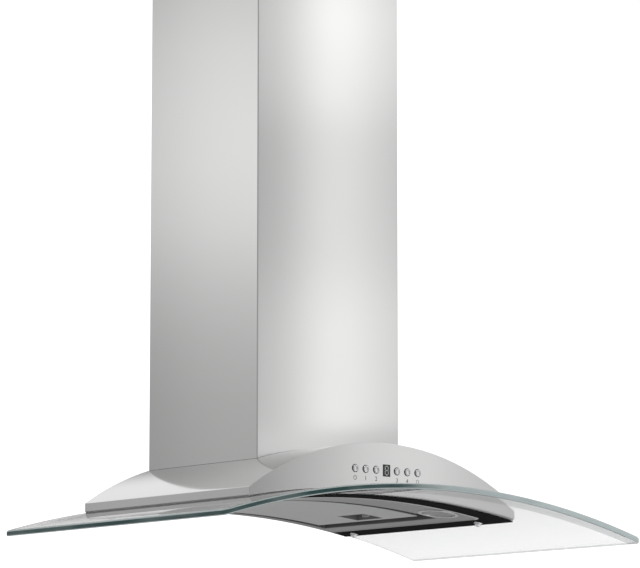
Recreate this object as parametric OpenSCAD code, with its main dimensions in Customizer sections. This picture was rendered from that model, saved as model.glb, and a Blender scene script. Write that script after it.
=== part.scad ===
// Wall mount range hood with a curved glass canopy, built as separate pieces.
// Millimetres. +Z is up, the wall is the plane Y = 0 and the front faces -Y.
// The origin is the centre of the four wall screw holes in the back plate.

/* [Glass canopy] */
// Width of the glass from tip to tip
glass_w = 762; // [740:1:800]
// Depth of the glass from the wall to its front edge
glass_d = 480; // [460:1:520]
// Thickness of the glass
glass_t = 8; // [6:0.5:10]
// Radius that the top face of the glass is bent to, about an axis along Y
glass_r = 1380; // [1250:5:1600]
// Radius of the two front corners in plan
glass_corner_r = 10; // [4:1:60]
// Radius of the two back corners in plan
glass_back_corner_r = 2; // [1:1:20]
// Height of the wall screws' centre above the crown of the glass
crown_drop = 150; // [140:1:165]

/* [Body] */
// Width of the steel body that stands on the glass
body_w = 489; // [484:1:500]
// Depth of the body from the wall to the face of the control panel
body_d = 363; // [358:1:370]
// Height of the arched roof's top above the crown of the glass
roof_h = 65; // [62:0.5:72]
// Height of the upright strip at each end of the body
end_strip_h = 13.5; // [11:0.5:16]
// Thickness of the steel sheet
sheet = 1; // [0.8:0.1:1.2]
// Width of the flange that the body turns in over the glass
flange_w = 30; // [29:0.5:32]
// Thickness of the soft seal between the body and the glass
seal_t = 1.5; // [1:0.1:2]

/* [Underside] */
// How far each side of the body reaches past the opening in the glass
rim_side = 27.5; // [25:0.5:29]
// How far the body's front reaches past that opening
rim_front = 35; // [32:1:36]
// Radius of the opening's front corners
notch_r = 12; // [8:1:16]
// Thickness of the black frame under the glass
under_t = 1; // [0.8:0.1:2]
// How far the black frame stays back from the body's ends
under_side = 1.5; // [0.5:0.5:3]
// How far the black frame stays back from the body's front
under_front = 2; // [1:0.5:4]
// Width of the bottom plate's border beside the intake opening
border_side = 27; // [25:0.5:29]
// Width of the bottom plate's border in front of it, where the lamps are
border_front = 71; // [69:1:73]
// Distance from the wall to the back of the intake opening
intake_back = 12; // [11:1:14]
// Gap between the suction panel and each side of the intake opening
gap_side = 22; // [20:0.5:25]
// Gap between the suction panel and the front and back of that opening
gap_end = 14; // [12:0.5:18]
// Height of the folded edges of the suction panel
panel_edge_h = 9; // [7:0.5:10]

/* [Lamps] */
// Radius of each lamp's ring
lamp_r = 29.5; // [26:0.5:31]
// Distance of each lamp's centre from the side of the glass opening
lamp_side = 54; // [50:1:60]
// Distance of each lamp's centre from the front of the glass opening
lamp_front = 36; // [35:0.5:38]

/* [Glass bolts] */
// Distance of the bolts from the body's ends
bolt_side = 16.5; // [15.5:0.5:17.5]
// Distance of the back bolts from the wall
bolt_back = 38; // [34:1:44]
// Distance of the front bolts from the body's front
bolt_front = 57; // [54:1:66]
// Radius of a bolt's shank
bolt_r = 3; // [2.5:0.5:3.5]
// Radius of a cap nut across its corners
nut_r = 6.5; // [6:0.5:7.5]

/* [Chimney] */
// Width of the lower chimney cover
chimney_w = 263; // [256:1:275]
// Depth of the lower chimney cover
chimney_d = 242; // [238:1:260]
// Height of the lower cover's top above the crown of the glass
chimney_top = 800; // [760:1:900]
// Length of the upper cover
upper_len = 450; // [420:1:480]
// Length of the upper cover that shows above the lower one
upper_show = 150; // [130:1:200]
// Width of the returns that both covers turn in along the wall
return_w = 12; // [10:0.5:14]

/* [Blower] */
// Width of the blower box
box_w = 190; // [186:1:196]
// Distance from the wall to the front of the blower box
box_front = 230; // [226:1:232]
// Height of the blower box's top above the crown of the glass
box_top = 290; // [286:1:300]
// Radius of the fan wheel
wheel_r = 70; // [66:1:72]
// Width of the fan wheel
wheel_w = 92; // [84:1:94]
// Number of blades round the wheel
blade_count = 32; // [24:1:40]
// Inside width of the scroll
scroll_w = 104; // [102:1:106]
// Radius of the scroll's first quarter
scroll_r = 80; // [80:1:81]
// Growth of the scroll's radius with each quarter turn
scroll_step = 6; // [5:0.5:6]
// Distance of the fan's axis from the blower box's front
fan_front = 90; // [89:1:92]
// Height of the fan's axis above the crown of the glass
fan_h = 172; // [170:1:176]
// Radius of the motor
motor_r = 41; // [36:1:43]
// Length of the motor
motor_l = 66; // [60:1:70]
// Radius of the motor run capacitor
capacitor_r = 15; // [13:0.5:17]
// Length of the motor run capacitor
capacitor_l = 65; // [55:1:75]

/* [Duct collar] */
// Outside radius of the collar that the duct slides over
collar_r = 75; // [75:0.5:76]
// Length of the collar above its plate
collar_h = 60; // [50:1:70]
// Thickness of the collar's wall
collar_wall = 1.2; // [1:0.1:1.5]

/* [Controls] */
// Height of the buttons' centres above the crown of the glass
button_h = 27.4; // [26:0.2:30]
// Distance between neighbouring buttons
button_pitch = 19.2; // [18:0.2:19.6]
// Radius of a button
button_r = 4.7; // [4.2:0.1:5]
// Travel of a button
button_travel = 1.2; // [0.8:0.1:1.4]
// Height of the control board
board_h = 26; // [24:0.5:28]
// Width of the display window
window_w = 13.5; // [12:0.5:15]
// Height of the display window
window_h = 16.5; // [15:0.5:18]

/* [Mounting] */
// Distance between the wall screw holes from side to side
wall_hole_dx = 216; // [212:1:220]
// Distance between the wall screw holes up and down
wall_hole_dz = 100; // [80:1:110]
// Radius of the wall screw holes
wall_hole_r = 4; // [3:0.5:4]
// Distance between the upper bracket's holes
bracket_hole_dx = 160; // [140:1:170]
// Height of the upper bracket
bracket_h = 40; // [30:1:50]
// Distance from the upper bracket to the top of the upper cover
bracket_drop = 10; // [5:1:20]
// How far the upper bracket's arms reach along the cover's sides
bracket_reach = 60; // [40:1:80]

/* [Supply] */
// Width of the terminal box, out from the blower box
terminal_w = 28; // [24:1:30]
// Length of the terminal box along the wall's depth
terminal_l = 70; // [60:1:80]
// Height of the terminal box
terminal_h = 60; // [50:1:70]
// Radius of the cable gland's bore
gland_bore_r = 4.5; // [3.5:0.5:5]

/* [Hidden] */

$fn = 48;
// Facets of the large bends, fine enough that they read as smooth curves
bend_fn = 720;

// Clearances: still seats, snug parts, running fits and sliding covers
seat_gap = 0.2;
snug = 0.5;
running = 0.05;
pin_snug = 0.03;
slide_gap = 0.5;
guide_gap = 1;

// Levels, measured as radii from the bend's axis
crown_z = -crown_drop;
bend_z = crown_z - glass_r;
seal_top_r = glass_r + seal_t;
flange_top_r = seal_top_r + sheet;
glass_low_r = glass_r - glass_t;
under_top_r = glass_low_r - seat_gap;
under_low_r = under_top_r - under_t;
plate_low_r = glass_low_r - sheet;
plate_top_r = glass_low_r;

// Arched roof: a circle through the two end strips' tops and the roof's top
body_half = body_w / 2;
end_z = bend_z + sqrt(glass_r * glass_r - body_half * body_half) + end_strip_h;
roof_top = crown_z + roof_h;
roof_rise = roof_top - end_z;
roof_r = (body_half * body_half + roof_rise * roof_rise) / (2 * roof_rise);
roof_axis_z = roof_top - roof_r;

// Back plate
back_t = 1.2;
tongue_half = chimney_w / 2 - return_w - 2.5;
tongue_top = crown_z + box_top + 10;

// Glass opening, black frame, intake opening and bolts, counted from the body
notch_w = body_w - 2 * rim_side;
notch_d = body_d - rim_front;
under_w = body_w - 2 * under_side;
under_d = body_d - under_front;
intake_w = notch_w - 2 * border_side;
intake_front = notch_d - border_front;
bolt_x = body_half - bolt_side;
bolt_y = [bolt_back, body_d - bolt_front];
bolt_head_r = 5.8;
bolt_head_h = 4;
bolt_end = 4.2;
nut_h = 2.2;
nut_dome_r = nut_r - 1.6;

// Bottom plate and what sits in it
plate_w = notch_w - 2 * snug - 2;
plate_d = notch_d - snug - 1;
intake_r = 3;
rim_top = crown_z + 4;
// A flat lamp ring clears the bent plate's edge by this much below its middle
bezel_drop = 0.4;
bezel_t = 1.2;
bezel_border = 6;
bezel_sleeve_l = 12;
lens_r = lamp_r - 4.8;
lens_t = 3;
lamp_x = notch_w / 2 - lamp_side;
lamp_y = notch_d - lamp_front;
lamp_wall = 1.5;
lamp_body_l = 20;
lamp_board_z = 20;
lamp_board_t = 1.6;
filter_skin = 1.5;
filter_t = 8;
filter_margin = 6;
filter_border = 12;

// Suction panel, its hinge and its latch
panel_half = intake_w / 2 - gap_side;
panel_front = intake_front - gap_end;
panel_back = intake_back + gap_end;
hinge_x = -(panel_half + 10);
hinge_z = bend_z + sqrt(pow(plate_low_r, 2) - pow(panel_half, 2)) + 6.7;
hinge_pin_r = 2;
hinge_eye_r = 4;
hinge_eye_l = 8;
hinge_lug_l = 5;
hinge_side_gap = 0.3;
hinge_base_t = 1.5;
hinge_arm_t = 5;
hinge_ys = [panel_back + 46, panel_front - 45];
cup_w = 39;
cup_l = 57;
cup_x = panel_half - 28;
cup_y = (panel_front + panel_back) / 2 + 15;
cup_depth = 11;
cup_wall = 1.2;
latch_w = 12;
latch_t = 2.4;
latch_travel = 6;
latch_z = bend_z + sqrt(pow(plate_low_r, 2) - pow(cup_x, 2)) + 4.5;
latch_nose_x = intake_w / 2 - 3;
keeper_w = 24;
keeper_l = 7;
keeper_h = 10;
keeper_drop = 4;
keeper_room = 1.5;
grip_l = 9;
grip_h = 2.2;

// Blower
fan_y = box_front - fan_front;
fan_z = crown_z + fan_h;
box_top_z = crown_z + box_top;
throat_front = 5;
throat_back = scroll_r + 2.5 * scroll_step;
throat_mid = (throat_front + throat_back) / 2;
collar_y = -(fan_y - throat_mid);
inlet_r = 58;
shaft_r = 4;
hub_r = 14;
hub_l = 21;
hub_front = 5;
shaft_l = 96;
motor_x0 = hub_front + 3;
motor_x1 = motor_x0 + motor_l;
motor_step = 7;
screw_r = 2;
screw_hole_r = 2.2;
screw_head_r = 3.8;
screw_head_h = 2;

// Motor bracket
bracket_foot_r = inlet_r + 12;
bracket_foot_h = 5;
bracket_arm_t = 2;
bracket_arm_w = 12;
bracket_ring_w = 5;
bracket_arms = [60, 180, 300];

// What hangs on the blower box: terminal box, gland and capacitor
terminal_x = box_w / 2;
terminal_y = 110;
terminal_z = box_top_z - 90;
terminal_wall = 2;
gland_r = 9;
gland_below = 4;
gland_above = 14;
capacitor_x = -box_w / 2 + sheet + 2 + capacitor_r;
capacitor_y = box_front - 60;
capacitor_z = box_top_z - 95;
clip_h = 14;
clip_foot_w = 20;

// Damper flaps
collar_z = box_top_z + collar_wall;
collar_plate_side = 8;
collar_plate_end = 3;
collar_lip = 4;
flap_pin_y = 4;
flap_pin_z = collar_z + 3.8;
flap_pin_r = 1.5;
flap_eye_r = 2.5;
flap_t = 1.2;
flap_low = collar_z + 0.3;
flap_r = collar_r - collar_wall - 0.8;

// Controls: places along Y, counted from the front face of the panel
face_y = -body_d;
button_z = crown_z + button_h;
bezel_proud = 0.8;
bezel_sleeve = 4.9;
button_proud = 2;
button_body = 5.3;
button_flange_t = 1.2;
switch_gap = button_travel + 0.3;
board_y = face_y + button_body + button_flange_t + switch_gap + 4.4;
board_t = 1.6;
board_half = 3 * button_pitch + 14;
frame_wall = 2;
frame_back = 1.8;
frame_ledge = 3;
switch_h = 3.4;
switch_w = 6;
switch_pin_r = 1.6;
window_proud = 0.3;
window_gap = 0.1;
display_w = 12;
display_h = 15;
button_xs = [for (i = [-3:3]) if (i != 0) i * button_pitch];

// Chimney
lower_half = chimney_w / 2;
lower_top = crown_z + chimney_top;
upper_half = lower_half - sheet - slide_gap;
upper_front = chimney_d - sheet - slide_gap;
upper_back = sheet + slide_gap;
upper_top = lower_top + upper_show;
bracket_z = upper_top - bracket_drop - bracket_h;
bracket_t = 2;
bracket_clear = 3;
bracket_side_gap = 0.3;
cover_clip_t = 1.5;
cover_clip_w = 30;
cover_clip_h = 18;
cover_clip_y = box_front - 30;
cover_clip_z = box_top_z - 130;

// A cylinder lying along Y, from the wall side y0 towards the front
module along_y(r, y0, length, fn = 48) {
    translate([0, y0, 0])
        rotate([90, 0, 0])
            cylinder(r = r, h = length, $fn = fn);
}

// Plan outline: a rectangle from the wall to the front with round corners
module plan(width, y_front, y_back, r_front, r_back) {
    half = width / 2;
    translate([-half, y_front + r_front])
        square([width, y_back - r_back - y_front - r_front]);
    if (r_front > 0) {
        translate([-half + r_front, y_front])
            square([width - 2 * r_front, r_front]);
        for (side = [-1, 1])
            translate([side * (half - r_front), y_front + r_front])
                circle(r_front);
    }
    if (r_back > 0) {
        translate([-half + r_back, y_back - r_back])
            square([width - 2 * r_back, r_back]);
        for (side = [-1, 1])
            translate([side * (half - r_back), y_back - r_back])
                circle(r_back);
    }
}

// The layer between two radii of the canopy's bend, cut to a plan outline
module bent_sheet(low_r, high_r) {
    intersection() {
        translate([0, 0, bend_z])
            difference() {
                along_y(high_r, 5, glass_d + 10, bend_fn);
                along_y(low_r, 6, glass_d + 12, bend_fn);
            }
        translate([0, 0, crown_z - 100])
            linear_extrude(180)
                children();
    }
}

// Places something on the bend, square to it, with its z at a given radius;
// the same x gives the same radial line at every radius
module on_bend(x, y, r) {
    translate([0, -y, bend_z])
        rotate([0, asin(x / glass_r), 0])
            translate([0, 0, r])
                children();
}

// Everything under the arched roof, as a 2-D shape in X and Z
module under_roof(inset, half) {
    intersection() {
        translate([0, roof_axis_z])
            circle(roof_r - inset, $fn = bend_fn);
        translate([-half, crown_z - 60])
            square([2 * half, roof_h + 80]);
    }
}

// The same shape, closed below by the bend at a given radius
module body_section(inset, half, low_r) {
    difference() {
        under_roof(inset, half);
        translate([0, bend_z])
            circle(low_r, $fn = bend_fn);
    }
}

// Stands a shape drawn in X and Z upright, from y towards the front
module upright(y, depth) {
    translate([0, y, 0])
        rotate([90, 0, 0])
            linear_extrude(depth)
                children();
}

module bolt_places(r) {
    for (side = [-1, 1], y = bolt_y)
        on_bend(side * bolt_x, y, r)
            children();
}

module glass_canopy() {
    color([0.72, 0.84, 0.82, 0.5])
        difference() {
            bent_sheet(glass_low_r, glass_r)
                difference() {
                    plan(glass_w, -glass_d, 0, glass_corner_r, glass_back_corner_r);
                    plan(notch_w, -notch_d, 20, notch_r, 0);
                }
            bolt_places(glass_low_r)
                translate([0, 0, -glass_t])
                    cylinder(r = bolt_r + 1.5, h = 3 * glass_t);
        }
}

module glass_seal() {
    color([0.15, 0.15, 0.16])
        difference() {
            bent_sheet(glass_r, seal_top_r)
                difference() {
                    plan(body_w - snug, -body_d + sheet + seat_gap, -back_t, 0, 0);
                    plan(notch_w + 4, -notch_d - 2, 20, notch_r, 0);
                }
            bolt_places(glass_r)
                translate([0, 0, -glass_t])
                    cylinder(r = bolt_r + 1, h = 3 * glass_t);
        }
}

module under_frame() {
    color([0.09, 0.09, 0.1])
        difference() {
            bent_sheet(under_low_r, under_top_r)
                difference() {
                    plan(under_w, -under_d, 0, 0, 0);
                    plan(notch_w - 2, -notch_d + 1, 20, notch_r, 0);
                }
            bolt_places(under_low_r)
                translate([0, 0, -glass_t])
                    cylinder(r = bolt_r + 1, h = 3 * glass_t);
        }
}

module glass_bolts() {
    color([0.75, 0.75, 0.77])
        bolt_places(flange_top_r) {
            translate([0, 0, seat_gap])
                cylinder(r = bolt_head_r, h = bolt_head_h, $fn = 6);
            translate([0, 0, under_low_r - flange_top_r - bolt_end])
                cylinder(r = bolt_r, h = flange_top_r - under_low_r + bolt_end + seat_gap);
        }
}

module cap_nuts() {
    color([0.88, 0.88, 0.9])
        bolt_places(under_low_r)
            difference() {
                union() {
                    translate([0, 0, -nut_h - seat_gap])
                        cylinder(r = nut_r, h = nut_h, $fn = 6);
                    translate([0, 0, -nut_h - seat_gap])
                        intersection() {
                            sphere(r = nut_dome_r);
                            translate([0, 0, -nut_r])
                                cylinder(r = nut_r, h = nut_r);
                        }
                }
                translate([0, 0, -bolt_end - seat_gap])
                    cylinder(r = bolt_r + pin_snug, h = bolt_end + 1);
            }
}

// Roof, end strips and the flange over the glass, bent from one sheet
module body_shell() {
    shell_back = -back_t;
    shell_d = body_d - back_t - sheet;
    color([0.78, 0.78, 0.77])
        difference() {
            union() {
                upright(shell_back, shell_d)
                    difference() {
                        body_section(0, body_half, seal_top_r);
                        under_roof(sheet, body_half - sheet);
                    }
                bent_sheet(seal_top_r, flange_top_r)
                    difference() {
                        plan(body_w, -body_d + sheet, -back_t, 0, 0);
                        plan(body_w - 2 * flange_w, -body_d + flange_w + 6, 20, notch_r, 0);
                    }
            }
            translate([-box_w / 2 + 8, -box_front + 8, crown_z + 20])
                cube([box_w - 16, box_front - 20, 100]);
            bolt_places(seal_top_r)
                translate([0, 0, -glass_t])
                    cylinder(r = bolt_r + 0.5, h = 12);
        }
}

module control_panel() {
    color([0.8, 0.8, 0.79])
        difference() {
            upright(-body_d + sheet, sheet)
                body_section(0, body_half, seal_top_r);
            for (x = button_xs)
                translate([x, 0, button_z])
                    along_y(button_r + 0.75, face_y + 2 * sheet, 3 * sheet);
            translate([-window_w / 2, face_y - 1, button_z - window_h / 2])
                cube([window_w, 3 * sheet, window_h]);
        }
}

module back_plate() {
    color([0.7, 0.7, 0.7])
        difference() {
            upright(0, back_t)
                union() {
                    body_section(0, body_half, seal_top_r);
                    intersection() {
                        body_section(0, body_half, under_low_r);
                        translate([-plate_w / 2 + 1, crown_z - 60])
                            square([plate_w - 2, 80]);
                    }
                    translate([-tongue_half, crown_z + 20])
                        square([2 * tongue_half, tongue_top - crown_z - 20]);
                }
            for (x = [-1, 1], z = [-1, 1])
                translate([x * wall_hole_dx / 2, 0, z * wall_hole_dz / 2])
                    along_y(wall_hole_r, 1, back_t + 2);
        }
}

// The intake opening's outline, grown by a margin
module intake_plan(grow) {
    plan(intake_w + 2 * grow, -intake_front - grow, -intake_back + grow, intake_r, intake_r);
}

module bottom_plate() {
    lamp_hole_r = lamp_r - 3;
    color([0.62, 0.62, 0.62])
        difference() {
            union() {
                bent_sheet(plate_low_r, plate_top_r)
                    difference() {
                        plan(plate_w, -plate_d, -back_t, notch_r, 0);
                        intake_plan(0);
                    }
                bent_sheet(plate_low_r, seal_top_r - seat_gap)
                    difference() {
                        plan(plate_w, -plate_d, -back_t, notch_r, 0);
                        plan(plate_w - 2 * sheet, -plate_d + sheet, -back_t - sheet, notch_r - sheet, 0);
                    }
            }
            for (side = [-1, 1])
                on_bend(side * lamp_x, lamp_y, plate_low_r)
                    translate([0, 0, -5])
                        cylinder(r = lamp_hole_r, h = 12);
        }
}

// Upright rim that is welded round the intake and carries the grease filter
module intake_rim() {
    color([0.62, 0.62, 0.62])
        difference() {
            translate([0, 0, crown_z - 60])
                linear_extrude(rim_top - crown_z + 60)
                    difference() {
                        intake_plan(sheet);
                        intake_plan(0);
                    }
            translate([0, 0, bend_z])
                along_y(plate_top_r + seat_gap / 2, 5, glass_d + 10, bend_fn);
        }
}

// A base on the rim with two lugs for the hinge pin
module hinge_brackets() {
    lug_mid = hinge_eye_l / 2 + hinge_lug_l / 2 + hinge_side_gap;
    base_l = 2 * lug_mid + hinge_lug_l;
    color([0.66, 0.66, 0.67])
        for (y = hinge_ys) {
            for (side = [-1, 1])
                hinge_lug(y + side * lug_mid);
            translate([-intake_w / 2, -y - base_l / 2, hinge_z - hinge_eye_r])
                cube([hinge_base_t, base_l, 2 * hinge_eye_r]);
        }
}

module hinge_lug(y) {
    rim_x = -intake_w / 2;
    difference() {
        union() {
            translate([rim_x, -y - hinge_lug_l / 2, hinge_z - hinge_eye_r])
                cube([hinge_x - rim_x, hinge_lug_l, 2 * hinge_eye_r]);
            translate([hinge_x, 0, hinge_z])
                along_y(hinge_eye_r, -y + hinge_lug_l / 2, hinge_lug_l);
        }
        translate([hinge_x, 0, hinge_z])
            along_y(hinge_pin_r + pin_snug, -y + hinge_lug_l, 2 * hinge_lug_l);
    }
}

module panel_hinge_pins() {
    pin_l = hinge_eye_l + 2 * hinge_lug_l + 3;
    color([0.7, 0.7, 0.72])
        for (y = hinge_ys)
            translate([hinge_x, 0, hinge_z])
                along_y(hinge_pin_r, -y + pin_l / 2, pin_l);
}

// Two cheeks and a top that the latch's nose comes up between
module latch_keeper() {
    x1 = intake_w / 2;
    slot = latch_w + 2 * guide_gap;
    color([0.65, 0.65, 0.66])
        difference() {
            translate([x1 - keeper_l, -cup_y - keeper_w / 2, latch_z - keeper_drop])
                cube([keeper_l, keeper_w, keeper_h]);
            translate([x1 - keeper_l - 1, -cup_y - slot / 2, latch_z - keeper_drop - 1])
                cube([keeper_l + 2, slot, keeper_drop + 1 + latch_t / 2 + keeper_room]);
        }
}

module filter_frame() {
    color([0.72, 0.72, 0.73])
        translate([0, 0, rim_top])
            difference() {
                linear_extrude(filter_t)
                    difference() {
                        intake_plan(filter_margin);
                        intake_plan(filter_margin - filter_border);
                    }
                translate([0, 0, filter_skin])
                    linear_extrude(filter_t - 2 * filter_skin)
                        intake_plan(filter_margin - filter_skin);
            }
}

module filter_mesh() {
    color([0.66, 0.66, 0.68])
        translate([0, 0, rim_top + filter_skin + seat_gap])
            linear_extrude(filter_t - 2 * filter_skin - 2 * seat_gap)
                intake_plan(filter_margin - filter_skin - snug);
}

module lamp_places() {
    for (side = [-1, 1])
        on_bend(side * lamp_x, lamp_y, plate_low_r)
            children();
}

module lamp_bezels() {
    color([0.88, 0.88, 0.9])
        lamp_places()
            rotate_extrude()
                union() {
                    translate([lamp_r - bezel_border, -bezel_drop - bezel_t])
                        square([bezel_border, bezel_t]);
                    translate([lens_r + seat_gap, -bezel_drop - bezel_t])
                        square([bezel_t, bezel_sleeve_l]);
                }
}

module lamp_lenses() {
    color([0.95, 0.95, 0.92, 0.6])
        lamp_places()
            cylinder(r = lens_r, h = lens_t);
}

module lamp_housings() {
    color([0.4, 0.4, 0.42])
        lamp_places()
            difference() {
                translate([0, 0, lens_t + seat_gap])
                    cylinder(r = lens_r, h = lamp_body_l);
                translate([0, 0, lens_t])
                    cylinder(r = lens_r - lamp_wall, h = lamp_body_l + seat_gap - lamp_wall);
            }
}

module lamp_boards() {
    color([0.9, 0.9, 0.85])
        lamp_places()
            translate([0, 0, lamp_board_z])
                cylinder(r = lens_r - lamp_wall - snug, h = lamp_board_t);
}

module blower_box() {
    half = box_w / 2;
    color([0.68, 0.69, 0.7])
        difference() {
            translate([-half, -box_front, crown_z + 20])
                cube([box_w, box_front - back_t, box_top - 20]);
            translate([-half + sheet, -box_front + sheet, crown_z])
                cube([box_w - 2 * sheet, box_front - back_t - 2 * sheet, box_top - sheet]);
            translate([0, 0, roof_axis_z])
                along_y(roof_r + seat_gap, 10, body_d, bend_fn);
            translate([-scroll_w / 2, -fan_y + throat_front, box_top_z - 2])
                cube([scroll_w, throat_back - throat_front, 4]);
        }
}

// One quarter of a disc, with its corner at a given centre
module quarter(cx, cy, r, sx, sy) {
    intersection() {
        translate([cx, cy])
            circle(r, $fn = 180);
        translate([cx + (sx < 0 ? -r : 0), cy + (sy < 0 ? -r : 0)])
            square([r, r]);
    }
}

// Scroll in Y and Z about the fan's axis: three growing quarters and a throat
module scroll_shape(grow, top) {
    s = scroll_step / 2;
    r1 = scroll_r + grow;
    r2 = r1 + scroll_step;
    r3 = r2 + scroll_step;
    union() {
        quarter(-s, -s, r1, -1, 1);
        quarter(s, -s, r2, -1, -1);
        quarter(s, s, r3, 1, -1);
        translate([-s - 0.1, -s - 0.1])
            square([throat_front - grow + s + 0.2, r1 + 0.1]);
        translate([throat_front - grow, -s - 0.1])
            square([throat_back - throat_front + 2 * grow, top + s + 0.1]);
        translate([-s - 0.1, -s - 0.1])
            square([2 * s + 0.2, 2 * s + 0.2]);
    }
}

// Extrudes a shape drawn in Y and Z, centred on X, about the fan's axis
module across_x(width) {
    translate([-width / 2, -fan_y, fan_z])
        rotate([90, 0, 90])
            linear_extrude(width)
                children();
}

// A cylinder along X on the fan's axis
module on_axis(r, x0, x1, fn = 96) {
    translate([x0, -fan_y, fan_z])
        rotate([0, 90, 0])
            cylinder(r = r, h = x1 - x0, $fn = fn);
}

module scroll_housing() {
    throat_top = box_top_z - sheet - fan_z;
    color([0.7, 0.71, 0.72])
        difference() {
            across_x(scroll_w + 2 * sheet)
                scroll_shape(sheet, throat_top);
            across_x(scroll_w)
                scroll_shape(0, throat_top + 10);
            on_axis(inlet_r + 0.2, -scroll_w, scroll_w);
        }
}

module inlet_rings() {
    side_x = scroll_w / 2 + sheet;
    color([0.45, 0.46, 0.48])
        for (side = [-1, 1])
            translate([0, -fan_y, fan_z])
                rotate([0, side * 90, 0])
                    rotate_extrude($fn = 96)
                        union() {
                            translate([inlet_r - 1, side_x])
                                square([8, 1]);
                            translate([inlet_r - 1, side_x - 5])
                                square([1, 6]);
                        }
}

module motor() {
    color([0.3, 0.31, 0.33])
        difference() {
            union() {
                on_axis(motor_r, motor_x0 + motor_step, motor_x1 - motor_step);
                on_axis(motor_r - motor_step, motor_x0, motor_x1);
            }
            on_axis(shaft_r + running, motor_x0 - 1, motor_x1 + 1);
        }
}

// Ring round the motor with three arms that end on the scroll's side
module motor_bracket() {
    side_x = scroll_w / 2 + sheet;
    arm_x = side_x + bracket_foot_h - bracket_arm_t;
    arm_l = bracket_foot_r + bracket_ring_w - motor_r;
    half_w = bracket_arm_w / 2;
    color([0.55, 0.55, 0.57])
        difference() {
            union() {
                on_axis(motor_r + bracket_ring_w, arm_x, arm_x + bracket_arm_t);
                on_axis(motor_r + bracket_arm_t, arm_x, arm_x + 4 * bracket_arm_t);
                for (a = bracket_arms)
                    translate([0, -fan_y, fan_z])
                        rotate([a, 0, 0]) {
                            translate([arm_x, -half_w, motor_r])
                                cube([bracket_arm_t, bracket_arm_w, arm_l]);
                            translate([side_x, -half_w, bracket_foot_r - bracket_ring_w])
                                cube([bracket_foot_h, bracket_arm_w, 2 * bracket_ring_w]);
                        }
            }
            on_axis(motor_r + pin_snug, arm_x - 1, arm_x + motor_l);
            bracket_screw_places()
                translate([0, 0, -1])
                    cylinder(r = screw_hole_r, h = bracket_foot_h + 2);
        }
}

module bracket_screw_places() {
    side_x = scroll_w / 2 + sheet;
    for (a = bracket_arms)
        translate([0, -fan_y, fan_z])
            rotate([a, 0, 0])
                translate([side_x, 0, bracket_foot_r])
                    rotate([0, 90, 0])
                        children();
}

module bracket_screws() {
    color([0.75, 0.75, 0.77])
        bracket_screw_places() {
            cylinder(r = screw_r, h = bracket_foot_h + 0.5);
            translate([0, 0, bracket_foot_h])
                cylinder(r = screw_head_r, h = screw_head_h);
        }
}

module outlet_collar() {
    half_x = collar_r + collar_plate_side;
    half_y = collar_r + collar_plate_end;
    color([0.6, 0.61, 0.63])
        difference() {
            union() {
                translate([-half_x, collar_y - half_y, box_top_z])
                    cube([2 * half_x, 2 * half_y, collar_wall]);
                translate([0, collar_y, box_top_z])
                    cylinder(r = collar_r, h = collar_wall + collar_h, $fn = 120);
            }
            translate([0, collar_y, collar_z])
                cylinder(r = collar_r - collar_wall, h = collar_h + 1, $fn = 120);
            translate([0, collar_y, box_top_z - 1])
                cylinder(r = collar_r - collar_wall - collar_lip, h = collar_wall + 2, $fn = 120);
            for (side = [-1, 1])
                translate([-half_x, collar_y + side * flap_pin_y, flap_pin_z])
                    rotate([0, 90, 0])
                        cylinder(r = flap_pin_r + pin_snug, h = 2 * half_x);
            collar_screw_places()
                translate([0, 0, -collar_wall - 1])
                    cylinder(r = screw_hole_r, h = collar_wall + 2);
        }
}

module collar_screw_places() {
    for (x = [-1, 1], y = [-1, 1])
        translate([x * collar_r, collar_y + y * (collar_r - screw_head_r - screw_r), collar_z])
            children();
}

module collar_screws() {
    color([0.75, 0.75, 0.77])
        collar_screw_places() {
            translate([0, 0, -collar_wall])
                cylinder(r = screw_r, h = collar_wall + 0.5);
            cylinder(r = screw_head_r, h = screw_head_h);
        }
}

module damper_pins() {
    pin_half = collar_r - snug;
    color([0.7, 0.7, 0.72])
        for (side = [-1, 1])
            translate([-pin_half, collar_y + side * flap_pin_y, flap_pin_z])
                rotate([0, 90, 0])
                    cylinder(r = flap_pin_r, h = 2 * pin_half);
}

// Half disc with an eye along its straight edge; side is 1 towards the wall
module damper_flap(side) {
    eye_l = 2 * (flap_r - 3);
    color([0.5, 0.5, 0.52])
        difference() {
            union() {
                intersection() {
                    translate([0, collar_y, flap_low])
                        cylinder(r = flap_r, h = flap_t, $fn = 120);
                    translate([-collar_r, collar_y + (side > 0 ? 3 : -3 - collar_r), flap_low])
                        cube([2 * collar_r, collar_r, flap_t]);
                }
                translate([-eye_l / 2, collar_y + side * flap_pin_y, flap_pin_z])
                    rotate([0, 90, 0])
                        cylinder(r = flap_eye_r, h = eye_l);
            }
            translate([-collar_r, collar_y + side * flap_pin_y, flap_pin_z])
                rotate([0, 90, 0])
                    cylinder(r = flap_pin_r + running, h = 2 * collar_r);
        }
}

module damper_flap_front() {
    damper_flap(-1);
}

module damper_flap_back() {
    damper_flap(1);
}

module terminal_box() {
    wall = terminal_wall;
    color([0.2, 0.2, 0.22])
        difference() {
            translate([terminal_x, -terminal_y, terminal_z])
                cube([terminal_w, terminal_l, terminal_h]);
            translate([terminal_x + wall, -terminal_y + wall, terminal_z + wall])
                cube([terminal_w - 2 * wall, terminal_l - 2 * wall, terminal_h - 2 * wall]);
            gland_place()
                translate([0, 0, -2 * wall])
                    cylinder(r = gland_r - 2 + pin_snug, h = 3 * wall);
        }
}

module gland_place() {
    translate([terminal_x + terminal_w / 2, -terminal_y + terminal_l / 2, terminal_z + terminal_h])
        children();
}

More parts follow.
